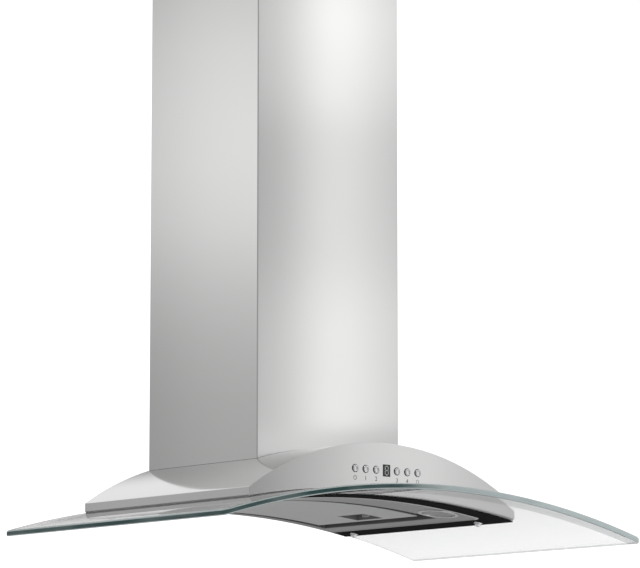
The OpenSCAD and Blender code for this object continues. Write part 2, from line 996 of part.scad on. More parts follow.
module cable_gland() {
    color([0.12, 0.12, 0.13])
        gland_place()
            difference() {
                union() {
                    translate([0, 0, -gland_below])
                        cylinder(r = gland_r - 2, h = gland_below + gland_above);
                    cylinder(r = gland_r + 1, h = gland_above / 3, $fn = 6);
                }
                translate([0, 0, -gland_below - 1])
                    cylinder(r = gland_bore_r, h = gland_below + gland_above + 2);
            }
}

module capacitor() {
    color([0.85, 0.85, 0.84])
        translate([capacitor_x, -capacitor_y, capacitor_z])
            cylinder(r = capacitor_r, h = capacitor_l);
}

module capacitor_clip() {
    clip_z = capacitor_z + (capacitor_l - clip_h) / 2;
    foot_x = -box_w / 2 + sheet;
    color([0.6, 0.6, 0.62])
        difference() {
            union() {
                translate([capacitor_x, -capacitor_y, clip_z])
                    cylinder(r = capacitor_r + sheet, h = clip_h);
                translate([foot_x, -capacitor_y - clip_foot_w / 2, clip_z])
                    cube([capacitor_x - foot_x - capacitor_r + 6, clip_foot_w, clip_h]);
            }
            translate([capacitor_x, -capacitor_y, clip_z - 1])
                cylinder(r = capacitor_r + pin_snug, h = clip_h + 2);
        }
}

module button_places() {
    for (x = button_xs)
        translate([x, 0, button_z])
            children();
}

module button_bezels() {
    color([0.85, 0.85, 0.87])
        button_places()
            difference() {
                union() {
                    along_y(button_r + 1.3, face_y, bezel_proud);
                    along_y(button_r + 0.7, face_y + bezel_sleeve, bezel_sleeve + bezel_proud);
                }
                along_y(button_r + 2 * running, face_y + 10, 20);
            }
}

module button(i) {
    front = face_y - button_proud;
    color([0.86, 0.86, 0.87])
        translate([button_xs[i], 0, button_z])
            union() {
                along_y(button_r, face_y + button_body, button_body + button_proud - 0.4);
                along_y(button_r - 0.4, front + 1, 1);
                along_y(button_r + 0.9, face_y + button_body + button_flange_t, button_flange_t);
            }
}

module button_1() {
    button(0);
}

module button_2() {
    button(1);
}

module button_3() {
    button(2);
}

module button_4() {
    button(3);
}

module button_5() {
    button(4);
}

module button_6() {
    button(5);
}

module push_switches() {
    color([0.15, 0.15, 0.16])
        button_places() {
            translate([-switch_w / 2, board_y - switch_h, -switch_w / 2])
                cube([switch_w, switch_h, switch_w]);
            along_y(switch_pin_r, board_y - switch_h, 1);
        }
}

module control_board() {
    color([0.1, 0.35, 0.18])
        translate([-board_half, board_y, button_z - board_h / 2])
            cube([2 * board_half, board_t, board_h]);
}

module control_frame() {
    depth = board_y + board_t + frame_back - face_y - sheet;
    half_w = board_half + seat_gap;
    half_h = board_h / 2 + seat_gap;
    ledge_w = board_half - frame_ledge;
    ledge_h = board_h / 2 - frame_ledge;
    color([0.17, 0.17, 0.18])
        difference() {
            translate([-half_w - frame_wall, face_y + sheet, button_z - half_h - frame_wall])
                cube([2 * (half_w + frame_wall), depth, 2 * (half_h + frame_wall)]);
            translate([-half_w, face_y, button_z - half_h])
                cube([2 * half_w, board_y + board_t - face_y, 2 * half_h]);
            translate([-ledge_w, face_y, button_z - ledge_h])
                cube([2 * ledge_w, 2 * depth, 2 * ledge_h]);
        }
}

module display_window() {
    color([0.05, 0.05, 0.06, 0.9])
        translate([-window_w / 2 + window_gap, face_y - window_proud, button_z - window_h / 2 + window_gap])
            cube([window_w - 2 * window_gap, sheet + window_proud, window_h - 2 * window_gap]);
}

module display_module() {
    color([0.12, 0.12, 0.12])
        translate([-display_w / 2, face_y + sheet + snug, button_z - display_h / 2])
            cube([display_w, board_y - face_y - sheet - snug, display_h]);
}

// Plan of a chimney cover: front, two sides and a return along each side's back
module cover_plan(half, front, back) {
    difference() {
        translate([-half, -front])
            square([2 * half, front - back]);
        translate([-half + sheet, -front + sheet])
            square([2 * (half - sheet), front - back - 2 * sheet]);
        translate([-half + return_w, -back - 2 * sheet])
            square([2 * (half - return_w), 4 * sheet]);
    }
}

module lower_chimney() {
    color([0.8, 0.8, 0.79])
        difference() {
            translate([0, 0, crown_z + 20])
                linear_extrude(chimney_top - 20)
                    cover_plan(lower_half, chimney_d, 0);
            translate([0, 0, roof_axis_z])
                along_y(roof_r + seat_gap, 10, body_d, bend_fn);
        }
}

module upper_chimney() {
    color([0.8, 0.8, 0.79])
        translate([0, 0, upper_top - upper_len])
            linear_extrude(upper_len)
                cover_plan(upper_half, upper_front, upper_back);
}

// Two clips between the blower box and the sides of the lower cover
module cover_clips() {
    t = cover_clip_t;
    x0 = box_w / 2;
    x1 = lower_half - sheet;
    color([0.6, 0.6, 0.62])
        for (side = [0, 1])
            mirror([side, 0, 0])
                translate([0, -cover_clip_y, cover_clip_z]) {
                    translate([x0, 0, 0])
                        cube([x1 - x0, cover_clip_w, t]);
                    translate([x0, 0, 0])
                        cube([t, cover_clip_w, cover_clip_h]);
                    translate([x1 - t, 0, -cover_clip_h])
                        cube([t, cover_clip_w, cover_clip_h + t / 2]);
                }
}

// Wall bracket that holds the top of the upper cover
module upper_bracket() {
    arm_x = upper_half - sheet - bracket_side_gap;
    step_y = upper_back + sheet + bracket_clear;
    plate_half = upper_half - return_w - bracket_clear;
    color([0.66, 0.66, 0.67])
        difference() {
            translate([0, 0, bracket_z])
                linear_extrude(bracket_h)
                    union() {
                        translate([-plate_half, -bracket_t])
                            square([2 * plate_half, bracket_t]);
                        for (side = [0, 1])
                            mirror([side, 0]) {
                                translate([plate_half - bracket_t, -step_y - bracket_t])
                                    square([bracket_t, step_y + bracket_t]);
                                translate([plate_half - bracket_t, -step_y - bracket_t])
                                    square([arm_x - plate_half + bracket_t, bracket_t]);
                                translate([arm_x - bracket_t, -bracket_reach])
                                    square([bracket_t, bracket_reach - step_y]);
                            }
                    }
            for (side = [-1, 1])
                translate([side * bracket_hole_dx / 2, 0, bracket_z + bracket_h / 2])
                    along_y(wall_hole_r, 1, bracket_t + 2);
        }
}

// The curved panel under the intake, with folded edges and a latch hole
module suction_panel() {
    edge_top_r = plate_low_r + panel_edge_h;
    color([0.72, 0.72, 0.71])
        difference() {
            union() {
                bent_sheet(plate_low_r, plate_low_r + sheet)
                    panel_plan(0);
                bent_sheet(plate_low_r, edge_top_r)
                    difference() {
                        panel_plan(0);
                        panel_plan(-sheet);
                    }
            }
            translate([cup_x - cup_w / 2, -cup_y - cup_l / 2, crown_z - 40])
                cube([cup_w, cup_l, 60]);
            translate([panel_half - 4, -cup_y - latch_w / 2 - snug, latch_z - latch_t / 2 - snug])
                cube([10, latch_w + 2 * snug, latch_t + 2 * snug]);
        }
}

module panel_plan(grow) {
    plan(2 * (panel_half + grow), -panel_front - grow, -panel_back + grow, intake_r + grow, intake_r + grow);
}

// Two eyes that are welded to the panel's left fold and turn on the pins
module panel_hinge_eyes() {
    color([0.66, 0.66, 0.67])
        for (y = hinge_ys)
            translate([hinge_x, 0, hinge_z])
                difference() {
                    union() {
                        along_y(hinge_eye_r, -y + hinge_eye_l / 2, hinge_eye_l);
                        translate([0, -y - hinge_eye_l / 2, -hinge_arm_t / 2])
                            cube([-panel_half - hinge_x, hinge_eye_l, hinge_arm_t]);
                    }
                    along_y(hinge_pin_r + running, -y + hinge_eye_l, 2 * hinge_eye_l);
                }
}

// Finger cup in the panel, open below
module pull_cup() {
    x0 = cup_x - cup_w / 2;
    y0 = -cup_y - cup_l / 2;
    color([0.25, 0.25, 0.26])
        difference() {
            intersection() {
                translate([x0 + 0.1, y0 + 0.1, crown_z - 40])
                    cube([cup_w - 0.2, cup_l - 0.2, 60]);
                bent_sheet(plate_low_r, plate_low_r + cup_depth + cup_wall)
                    plan(glass_w, -glass_d, 0, 0, 0);
            }
            intersection() {
                translate([x0 + cup_wall, y0 + cup_wall, crown_z - 40])
                    cube([cup_w - 2 * cup_wall, cup_l - 2 * cup_wall, 60]);
                bent_sheet(plate_low_r - 5, plate_low_r + cup_depth)
                    plan(glass_w, -glass_d, 0, 0, 0);
            }
            translate([cup_x, -cup_y - latch_w / 2 - snug, latch_z - latch_t / 2 - snug])
                cube([cup_w, latch_w + 2 * snug, latch_t + 2 * snug]);
        }
}

// Thumb slide whose nose reaches into the keeper
module latch_slide() {
    grip_x = cup_x + cup_w / 2 - cup_wall - grip_l - snug;
    color([0.7, 0.7, 0.71])
        union() {
            translate([grip_x, -cup_y - latch_w / 2, latch_z - latch_t / 2])
                cube([latch_nose_x - grip_x, latch_w, latch_t]);
            translate([grip_x, -cup_y - latch_w / 2, latch_z - latch_t / 2 - grip_h])
                cube([grip_l / 2, latch_w, grip_h + latch_t / 2]);
        }
}

module fan_wheel() {
    blade_mid = wheel_r - 6.5;
    color([0.55, 0.56, 0.58])
        difference() {
            union() {
                on_axis(wheel_r, -0.8, 0.8);
                on_axis(hub_r, hub_front - hub_l, hub_front);
                for (side = [-1, 1])
                    difference() {
                        on_axis(wheel_r, side * wheel_w / 2 - 1, side * wheel_w / 2 + 1);
                        on_axis(wheel_r - 4, side * wheel_w / 2 - 2, side * wheel_w / 2 + 2);
                    }
                translate([-wheel_w / 2, -fan_y, fan_z])
                    rotate([90, 0, 90])
                        linear_extrude(wheel_w)
                            for (i = [0:blade_count - 1])
                                rotate(i * 360 / blade_count)
                                    translate([blade_mid, 0])
                                        rotate(38)
                                            square([12, 0.8], center = true);
            }
            on_axis(shaft_r + pin_snug, -2 * hub_l, 2 * hub_l);
        }
}

module motor_shaft() {
    color([0.75, 0.75, 0.77])
        on_axis(shaft_r, motor_x1 + 4 - shaft_l, motor_x1 + 4);
}

glass_canopy();
glass_seal();
under_frame();
glass_bolts();
cap_nuts();
body_shell();
control_panel();
back_plate();
bottom_plate();
intake_rim();
hinge_brackets();
panel_hinge_pins();
latch_keeper();
filter_frame();
filter_mesh();
lamp_bezels();
lamp_lenses();
lamp_housings();
lamp_boards();
blower_box();
scroll_housing();
inlet_rings();
motor();
motor_bracket();
bracket_screws();
outlet_collar();
collar_screws();
damper_pins();
terminal_box();
cable_gland();
capacitor();
capacitor_clip();
control_frame();
control_board();
display_module();
display_window();
button_bezels();
push_switches();
lower_chimney();
cover_clips();
upper_bracket();
button_1();
button_2();
button_3();
button_4();
button_5();
button_6();
suction_panel();
panel_hinge_eyes();
pull_cup();
latch_slide();
fan_wheel();
motor_shaft();
damper_flap_front();
damper_flap_back();
upper_chimney();
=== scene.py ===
# %% [markdown]
# A wall mount range hood: a brushed steel body with an arched roof stands on a curved glass
# canopy, and a tall box chimney rises from it to the ceiling. The CAD model holds the sizes,
# the places and everything that moves. This script dresses it: it rebuilds the surfaces that
# show as smooth, rounded meshes, gives every piece a finish made of nodes, and lights it like
# a product photograph. Each step first says what the real piece is and why it is made so.

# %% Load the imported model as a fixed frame
import math

import bmesh
import bpy
from mathutils import Matrix, Vector
from mathutils.geometry import tessellate_polygon


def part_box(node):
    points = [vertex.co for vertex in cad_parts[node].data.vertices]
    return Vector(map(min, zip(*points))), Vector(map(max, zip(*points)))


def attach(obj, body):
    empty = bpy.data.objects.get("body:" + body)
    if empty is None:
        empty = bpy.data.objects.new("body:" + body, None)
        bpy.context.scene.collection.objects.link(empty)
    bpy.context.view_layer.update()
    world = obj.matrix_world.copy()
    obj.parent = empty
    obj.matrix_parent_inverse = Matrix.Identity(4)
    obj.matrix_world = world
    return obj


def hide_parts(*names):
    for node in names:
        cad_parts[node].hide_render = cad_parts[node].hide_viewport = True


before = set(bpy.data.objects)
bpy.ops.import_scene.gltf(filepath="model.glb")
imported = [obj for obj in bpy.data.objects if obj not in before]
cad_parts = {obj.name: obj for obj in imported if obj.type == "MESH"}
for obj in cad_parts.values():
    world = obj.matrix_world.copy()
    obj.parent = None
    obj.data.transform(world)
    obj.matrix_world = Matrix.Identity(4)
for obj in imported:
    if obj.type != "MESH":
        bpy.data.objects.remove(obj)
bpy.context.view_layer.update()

# %% [markdown]
# All sizes are in metres, in the CAD's own frame: +X right, +Y into the wall, +Z up. Where a
# size can be read from the frame it is, so that a new pack moves the looks with it. The
# radius of the glass's mould is the driving size of every bent piece under the roof; the
# roof's own radius follows from the body's height in the frame.

# %% Sizes that the pieces share
MM = 0.001
glass_low, glass_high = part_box("glass_canopy")
body_low, body_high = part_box("body_shell")
face_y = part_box("control_panel")[0].y
GLASS_R = 1380 * MM
GLASS_T = 8 * MM
SHEET = 1 * MM
SEAL_T = 1.5 * MM
UNDER_T = 1 * MM
UNDER_GAP = 0.2 * MM
crown_z = glass_high.z
bend_z = crown_z - GLASS_R
seal_top_r = GLASS_R + SEAL_T
glass_low_r = GLASS_R - GLASS_T
under_low_r = glass_low_r - UNDER_GAP - UNDER_T
plate_low_r = glass_low_r - SHEET
body_half = body_high.x
END_STRIP_H = 13.5 * MM
end_z = bend_z + math.sqrt(GLASS_R ** 2 - body_half ** 2) + END_STRIP_H
roof_rise = body_high.z - end_z
roof_r = (body_half ** 2 + roof_rise ** 2) / (2 * roof_rise)
roof_axis_z = body_high.z - roof_r
print("roof radius", round(roof_r, 4), "crown", round(crown_z, 4))

# %% [markdown]
# The camera stands where the photographer stood: low, to the left, five metres away with a
# long lens, so that upright edges stay almost parallel. Its place was worked out from the
# outlines of the glass and the chimney, and is given here as plain numbers.

# %% Camera
def add_object(name, data):
    thing = bpy.data.objects.new(name, data)
    bpy.context.scene.collection.objects.link(thing)
    return thing


CAMERA_AT = Vector((-3.303, -4.0495, -0.5912))
CAMERA_YAW = math.radians(40.883)
CAMERA_PITCH = math.radians(8.431)
LENS_MM, SENSOR_MM = 202.7, 36
SHIFT_X, SHIFT_Y = -0.0083, -0.0057
FLOOR_HALF = 30.0

camera_data = bpy.data.cameras.new("camera")
camera = add_object("camera", camera_data)
forward = Vector((math.sin(CAMERA_YAW) * math.cos(CAMERA_PITCH),
                  math.cos(CAMERA_YAW) * math.cos(CAMERA_PITCH),
                  math.sin(CAMERA_PITCH)))
right = Vector((math.cos(CAMERA_YAW), -math.sin(CAMERA_YAW), 0))
up = right.cross(forward)
turned_to_hood = Matrix((right, up, -forward)).transposed().to_4x4()
camera.matrix_world = Matrix.Translation(CAMERA_AT) @ turned_to_hood
camera_data.lens = LENS_MM
camera_data.sensor_width = SENSOR_MM
camera_data.shift_x = SHIFT_X
camera_data.shift_y = SHIFT_Y
camera_data.clip_end = 2 * FLOOR_HALF
bpy.context.scene.camera = camera
print("camera", [round(v, 3) for v in camera.location])

# %% [markdown]
# A finish on a real product is never one flat colour. The helpers below start a node material
# and set plain values on the shader's own sockets, so that they survive an export. Patterns
# read Object coordinates: every piece sits at the origin, so a pattern has its real size.

# %% Helpers for materials
def fill(tree, node, inputs):
    """Gives inputs a plain value, or links them to a socket or to a node's first output."""
    for name, value in inputs.items():
        if isinstance(value, bpy.types.Node):
            value = value.outputs[0]
        if isinstance(value, bpy.types.NodeSocket):
            tree.links.new(value, node.inputs[name])
        else:
            node.inputs[name].default_value = value


def put(tree, kind, inputs=None, **settings):
    """Adds a node with its settings and fills its inputs."""
    node = tree.nodes.new(kind)
    for key, value in settings.items():
        setattr(node, key, value)
    fill(tree, node, inputs or {})
    return node


def start_material(name, base, **values):
    material = bpy.data.materials.new(name)
    material.use_nodes = True
    tree = material.node_tree
    shader = tree.nodes["Principled BSDF"]
    fill(tree, shader, {"Base Color": (*base, 1), **values})
    return material, tree, shader


def maths(tree, operation, a, b):
    """One calculation on two numbers, each a plain value, a socket or a node."""
    return put(tree, "ShaderNodeMath", {0: a, 1: b}, operation=operation)


def coordinates(tree, kind):
    """The sockets X, Y and Z of one kind of texture coordinates."""
    coords = put(tree, "ShaderNodeTexCoord").outputs[kind]
    return put(tree, "ShaderNodeSeparateXYZ", {"Vector": coords}).outputs


def object_pattern(tree, scale=(1, 1, 1)):
    """Object coordinates stretched by a scale along each axis."""
    coords = put(tree, "ShaderNodeTexCoord").outputs["Object"]
    return put(tree, "ShaderNodeMapping", {"Vector": coords, "Scale": scale})


def noise(tree, scale, detail=3.0, stretched=(1, 1, 1)):
    return put(tree, "ShaderNodeTexNoise", {"Vector": object_pattern(tree, stretched),
                                            "Scale": scale, "Detail": detail})


def remap(tree, value, low, high, from_low=0.3, from_high=0.7):
    return put(tree, "ShaderNodeMapRange", {"Value": value, "From Min": from_low,
                                            "From Max": from_high, "To Min": low, "To Max": high})


def colour_ramp(tree, value, stops):
    """A colour that follows a value through stops, each a position and a colour."""
    node = put(tree, "ShaderNodeValToRGB", {"Fac": value})
    elements = node.color_ramp.elements
    while len(elements) < len(stops):
        elements.new(0.5)
    for element, (position, colour) in zip(elements, stops):
        element.position = position
        element.color = (*colour, 1)
    return node


def tint(tree, value, dark, light):
    """A colour that wanders between two colours."""
    return colour_ramp(tree, value, [(0.3, dark), (0.7, light)])


def bump(tree, height, strength, distance):
    return put(tree, "ShaderNodeBump", {"Height": height, "Strength": strength,
                                        "Distance": distance})


# %% [markdown]
# Brushed steel is polished with a belt in one direction. The belt leaves hair-fine lines, far
# longer than they are wide, that blur reflections across the grain. A noise that is squeezed
# along one axis gives those lines, and drives a faint colour change, the roughness and a tiny
# bump. The chimney's grain runs up and down, the body's runs from side to side.

# %% Steel finishes
ALONG_GRAIN, ACROSS_GRAIN = 12, 2500


def brushed_steel(name, base, grain, roughness=0.3, spread=0.02, anisotropic=0.3):
    material, tree, shader = start_material(name, base, Metallic=1.0, Roughness=roughness,
                                            Anisotropic=anisotropic)
    stretched = tuple(ALONG_GRAIN if axis == grain else ACROSS_GRAIN for axis in "xyz")
    lines = noise(tree, 1.0, 2.0, stretched)
    cloud = noise(tree, 9.0)
    patches = remap(tree, cloud, roughness - spread / 2, roughness + spread / 4)
    fill(tree, shader, {
        "Base Color": tint(tree, lines, tuple(c * 0.98 for c in base), base),
        "Roughness": maths(tree, "ADD", remap(tree, lines, 0, spread), patches),
        "Normal": bump(tree, lines, 0.04, 0.000005)})
    return material


steel_upright = brushed_steel("brushed_steel_upright", (0.70, 0.70, 0.695), "z", 0.2)
steel_across = brushed_steel("brushed_steel_across", (0.70, 0.70, 0.695), "x", 0.11)
steel_inner = brushed_steel("brushed_steel_underside", (0.56, 0.56, 0.565), "x", 0.38, 0.08)
steel_plate = brushed_steel("brushed_steel_plate", (0.36, 0.36, 0.365), "x", 0.38, 0.08)
# A darker copy of the steel: painted shade on folded faces inside the gaps.
steel_fold_painted_shade = brushed_steel("folded_steel_painted_shade", (0.2, 0.2, 0.202), "x", 0.5, 0.08, 0.0)
# A brighter copy of the steel for the bead: a painted highlight.
steel_bead_painted_highlight = brushed_steel("bead_steel_painted_highlight", (0.62, 0.62, 0.62), "x", 0.2, 0.02, 0.0)
screw_steel = brushed_steel("zinc_screw_steel", (0.60, 0.60, 0.61), "z", 0.3, 0.1, 0.0)
steels = (steel_upright, steel_across, steel_inner, steel_plate, steel_fold_painted_shade, steel_bead_painted_highlight,
          screw_steel)
print("steel finishes", [material.name for material in steels])

# %% [markdown]
# Galvanised sheet has a zinc skin that froze into flat crystals, the spangle. A cell texture
# gives each crystal its own grey and its own gloss.

# %% Galvanised sheet, aluminium and chrome
def galvanised_sheet(name):
    material, tree, shader = start_material(name, (0.5, 0.51, 0.53), Metallic=1.0, Roughness=0.42)
    cells = put(tree, "ShaderNodeTexVoronoi", {"Vector": object_pattern(tree), "Scale": 170.0})
    grey = put(tree, "ShaderNodeRGBToBW", {"Color": cells.outputs["Color"]})
    fill(tree, shader, {
        "Base Color": tint(tree, cells.outputs["Color"], (0.50, 0.51, 0.53), (0.58, 0.59, 0.61)),
        "Roughness": remap(tree, grey, 0.38, 0.46)})
    return material


def grained(name, base, roughness, scale, detail, darkest, swing, strength, depth, metallic=0.0):
    """A finish whose fine grains vary its colour, its gloss and its surface."""
    material, tree, shader = start_material(name, base, Metallic=metallic, Roughness=roughness)
    grains = noise(tree, scale, detail)
    fill(tree, shader, {
        "Base Color": tint(tree, grains, tuple(c * darkest for c in base), base),
        "Roughness": remap(tree, grains, roughness * (1 - swing), roughness * (1 + swing)),
        "Normal": bump(tree, grains, strength, depth)})
    return material


def cast_metal(name, base, roughness, metallic=1.0, scale=600.0, depth=0.00006):
    return grained(name, base, roughness, scale, 4.0, 0.9, 0.15, 0.15, depth, metallic)


galvanised = galvanised_sheet("galvanised_spangle")
aluminium = cast_metal("filter_aluminium", (0.62, 0.62, 0.63), 0.35)
lamp_metal = cast_metal("lamp_cup_metal", (0.4, 0.4, 0.42), 0.4)
chrome = cast_metal("bright_chrome", (0.82, 0.82, 0.84), 0.07, depth=0.000004)
cap_satin = cast_metal("button_satin", (0.74, 0.74, 0.75), 0.16, depth=0.000004)
ring_chrome = cast_metal("button_ring_chrome", (0.16, 0.16, 0.17), 0.12, depth=0.000004)
lamp_trim = cast_metal("lamp_trim_satin", (0.58, 0.58, 0.59), 0.2, depth=0.000004)
motor_paint = cast_metal("motor_enamel", (0.05, 0.052, 0.058), 0.4, 0.0)
black_enamel = cast_metal("black_enamel", (0.02, 0.02, 0.021), 0.55, 0.0, 900.0, 0.00002)
black_enamel.node_tree.nodes["Principled BSDF"].inputs["Specular IOR Level"].default_value = 0.0
metals = (galvanised, aluminium, lamp_metal, chrome, cap_satin, ring_chrome, lamp_trim)
print("metal finishes", [material.name for material in metals])
print("paints", motor_paint.name, black_enamel.name)

# %% [markdown]
# Moulded plastic, rubber and circuit boards don't reflect like metal. A fine spark-eroded
# texture breaks up their gloss.

# %% Plastics, rubber and boards
def moulded(name, base, roughness, scale=1500.0, depth=0.00003):
    return grained(name, base, roughness, scale, 2.0, 0.85, 0.1, 0.2, depth)


black_plastic = moulded("black_moulded_plastic", (0.02, 0.02, 0.022), 0.45)
seal_rubber = moulded("seal_rubber", (0.30, 0.30, 0.302), 0.7)
board_green = moulded("circuit_board_green", (0.02, 0.12, 0.05), 0.3, 400.0)
board_white = moulded("circuit_board_white", (0.75, 0.75, 0.72), 0.35, 400.0)
capacitor_white = moulded("capacitor_shell", (0.7, 0.7, 0.68), 0.4)
cup_grey = moulded("finger_cup_grey", (0.17, 0.17, 0.175), 0.4)
latch_grey = moulded("latch_grey", (0.5, 0.5, 0.5), 0.35)
smoked = moulded("smoked_window", (0.012, 0.012, 0.014), 0.12, 300.0, 0.000003)
label_ink = moulded("printed_label_grey", (0.12, 0.12, 0.125), 0.5)
digit_lit = moulded("display_digit", (0.72, 0.74, 0.74), 0.5)
print("moulded finishes", black_plastic.name, seal_rubber.name, cup_grey.name, smoked.name)

# %% [markdown]
# Float glass is clear across its thickness and green along it, because light that enters at an
# edge travels a long way inside. So the two faces are nearly clear, and the edge has a finish
# of its own: a core whose light and shade are painted, deep teal on the left and painted pale
# on the right, between two ground arrises that scatter light. The lamps' glass is
# pressed with small facets, so it looks uneven.

# %% Glass and lamp glass
def float_glass(name, dark, light):
    material, tree, shader = start_material(name, light, Roughness=0.0, IOR=1.5)
    fill(tree, shader, {"Transmission Weight": 1.0,
                        "Base Color": tint(tree, noise(tree, 30.0, 2.0), dark, light)})
    return material


def frosted_glass(name):
    material, tree, shader = start_material(name, (0.24, 0.24, 0.24), Roughness=0.3, IOR=1.45)
    facets = noise(tree, 260.0, 2.0)
    fill(tree, shader, {
        "Transmission Weight": 0.3,
        "Base Color": tint(tree, facets, (0.15, 0.15, 0.15), (0.42, 0.42, 0.42)),
        "Normal": bump(tree, facets, 0.6, 0.0003)})
    return material


def edge_core_painted_light(name, deep, pale):
    """Painted light and shade: deep on the left, pale on the right, with slow waves in between."""
    material, tree, shader = start_material(name, pale, Roughness=0.12, IOR=1.5)
    # Painted light: the core's colour turns pale towards +X.
    along = remap(tree, coordinates(tree, "Object")["X"], 0.0, 1.0, -0.08, 0.02)
    waves = remap(tree, noise(tree, 1.0, 3.0, (9, 9, 60)), -0.12, 0.3)
    core = colour_ramp(tree, maths(tree, "ADD", along, waves), [(0, deep), (1, pale)])
    fill(tree, shader, {"Base Color": core})
    return material


EDGE_OPACITY = 0.45


def clear_from_within(material, opacity):
    """Seen through the glass itself an edge is a way out for the light, not a surface."""
    tree = material.node_tree
    side = put(tree, "ShaderNodeNewGeometry").outputs["Backfacing"]
    fade = remap(tree, side, 1.0, opacity, 0.0, 1.0)
    fill(tree, tree.nodes["Principled BSDF"], {"Alpha": fade})


canopy_glass = float_glass("float_glass", (0.985, 0.995, 0.992), (1.0, 1.0, 1.0))
margin_glass = float_glass("float_glass_margin", (0.42, 0.43, 0.44), (0.47, 0.48, 0.49))
# Painted light and shade along the edge: deep teal to pale along X.
glass_core_painted_light = edge_core_painted_light("glass_edge_core", (0.02, 0.07, 0.068), (0.50, 0.57, 0.57))
glass_arris = moulded("ground_glass_arris", (0.56, 0.64, 0.635), 0.4, 900.0, 0.00002)
for material in (glass_core_painted_light, glass_arris):
    clear_from_within(material, EDGE_OPACITY)
lamp_glass = frosted_glass("frosted_lamp_glass")
print("glass finishes", canopy_glass.name, margin_glass.name, glass_core_painted_light.name, lamp_glass.name)

# %% [markdown]
# Most pieces of this hood are sheets: an outline with holes, a thickness, and softly broken
# edges. One helper makes that from rings of points: every ring is carried through a list of
# levels, each a height and an inset, and the first and last levels are filled. A folded rim
# is then only two more levels. The slab is bent or stood upright afterwards.

# %% Helpers for outlines and slabs
def arc_points(cx, cy, r, start, stop, steps):
    """Points on an arc from start to stop degrees."""
    angles = [math.radians(start + (stop - start) * i / steps) for i in range(steps + 1)]
    return [(cx + r * math.cos(a), cy + r * math.sin(a)) for a in angles]


def rounded_plan(half, front, back, r_front, r_back, steps=8):
    """Rectangle between two depths, front is the lower Y, with rounded corners."""
    points = []
    corners = ((-1, -1, r_front, 180), (1, -1, r_front, 270),
               (1, 1, r_back, 0), (-1, 1, r_back, 90))
    for sx, sy, r, start in corners:
        y = front + r if sy < 0 else back - r
        points += arc_points(sx * (half - r), y, r, start, start + 90, steps)
    return points


def circle_points(cx, cy, r, steps=48):
    return arc_points(cx, cy, r, 0, 360 - 360 / steps, steps - 1)


def inset_ring(ring, distance):
    """Moves a ring sideways, to the left of its direction of travel."""
    moved = []
    for i, here in enumerate(ring):
        before, after = Vector(ring[i - 1]), Vector(ring[(i + 1) % len(ring)])
        a, b = (Vector(here) - before).normalized(), (after - Vector(here)).normalized()
        na, nb = Vector((-a.y, a.x)), Vector((-b.y, b.x))
        moved.append(Vector(here) + distance * (na + nb) / (1 + na.dot(nb)))
    return moved


def turned(ring, clockwise):
    area = sum(ring[i - 1][0] * p[1] - p[0] * ring[i - 1][1] for i, p in enumerate(ring))
    return ring if (area < 0) == clockwise else ring[::-1]


def loft(loops):
    """A solid from loops of (ring, levels): first the outside, then the holes."""
    bm = bmesh.new()
    first, last = [], []
    for number, (ring, levels) in enumerate(loops):
        ring = turned(ring, clockwise=number > 0)
        rows = [[bm.verts.new((p[0], p[1], z)) for p in inset_ring(ring, inset)]
                for z, inset in levels]
        for low, high in zip(rows, rows[1:]):
            for i in range(len(ring)):
                bm.faces.new((low[i - 1], low[i], high[i], high[i - 1]))
        first.append(rows[0])
        last.append(rows[-1])
    for rows in (first, last):
        verts = [v for row in rows for v in row]
        for tri in tessellate_polygon([[v.co for v in row] for row in rows]):
            bm.faces.new([verts[i] for i in tri])
    bmesh.ops.recalc_face_normals(bm, faces=bm.faces)
    return bm


def edge_levels(thickness, edge, steps=2):
    """Levels of a plain slab with its edges rounded in a few steps."""
    if edge == 0:
        return [(0, 0), (thickness, 0)]
    turns = [math.pi / 2 * i / steps for i in range(steps + 1)]
    low = [(edge * (1 - math.cos(t)), edge * (1 - math.sin(t))) for t in turns]
    return low + [(thickness - z, inset) for z, inset in reversed(low)]


def slab(outline, holes, thickness, edge=0.0003, hole_edge=None):
    hole_edge = edge if hole_edge is None else hole_edge
    inner = [(hole, edge_levels(thickness, hole_edge)) for hole in holes]
    return loft([(outline, edge_levels(thickness, edge))] + inner)


def whole(bm):
    return [*bm.verts, *bm.edges, *bm.faces]


def cut_across(bm, step, axis=0):
    """Cuts a mesh at regular planes along an axis, so that it can bend."""
    values = [v.co[axis] for v in bm.verts]
    normal = Vector([1 if i == axis else 0 for i in range(3)])
    for i in range(math.ceil(min(values) / step), math.floor(max(values) / step) + 1):
        bmesh.ops.bisect_plane(bm, geom=whole(bm), plane_co=normal * i * step, plane_no=normal)
    return bm


def bend(bm, low_r, step=12 * MM, top_z=None):
    """Bends a slab over the canopy's axis: its z becomes the distance above low_r."""
    cut_across(bm, step)
    for v in bm.verts:
        v.co.z = bend_z + math.sqrt((low_r + v.co.z) ** 2 - v.co.x ** 2)
        if top_z is not None:
            v.co.z = min(v.co.z, top_z)
    return bm


def stand(bm, face_y):
    """Stands a slab up: y becomes height, and its thickness runs from face_y into the hood."""
    for v in bm.verts:
        x, y, z = v.co
        v.co = (x, face_y + z, y)
    bmesh.ops.recalc_face_normals(bm, faces=bm.faces)
    return bm


def joined(*meshes):
    sum_mesh = bmesh.new()
    for bm in meshes:
        scratch = bpy.data.meshes.new("part")
        bm.to_mesh(scratch)
        sum_mesh.from_mesh(scratch)
        bpy.data.meshes.remove(scratch)
        bm.free()
    return sum_mesh


def lathe(profile, steps=48, matrix=Matrix.Identity(4)):
    """Turns a profile of (radius, height) about Z; a radius of 0 closes an end."""
    bm = bmesh.new()
    rows = []
    for r, z in profile:
        if r == 0:
            rows.append([bm.verts.new((0, 0, z))])
        else:
            rows.append([bm.verts.new((x, y, z)) for x, y in circle_points(0, 0, r, steps)])
    for low, high in zip(rows, rows[1:]):
        for i in range(steps):
            start = [low[0]] if len(low) == 1 else [low[i - 1], low[i]]
            end = [high[0]] if len(high) == 1 else [high[i], high[i - 1]]
            bm.faces.new(start + end)
    bmesh.ops.recalc_face_normals(bm, faces=bm.faces)
    bm.transform(matrix)
    return bm


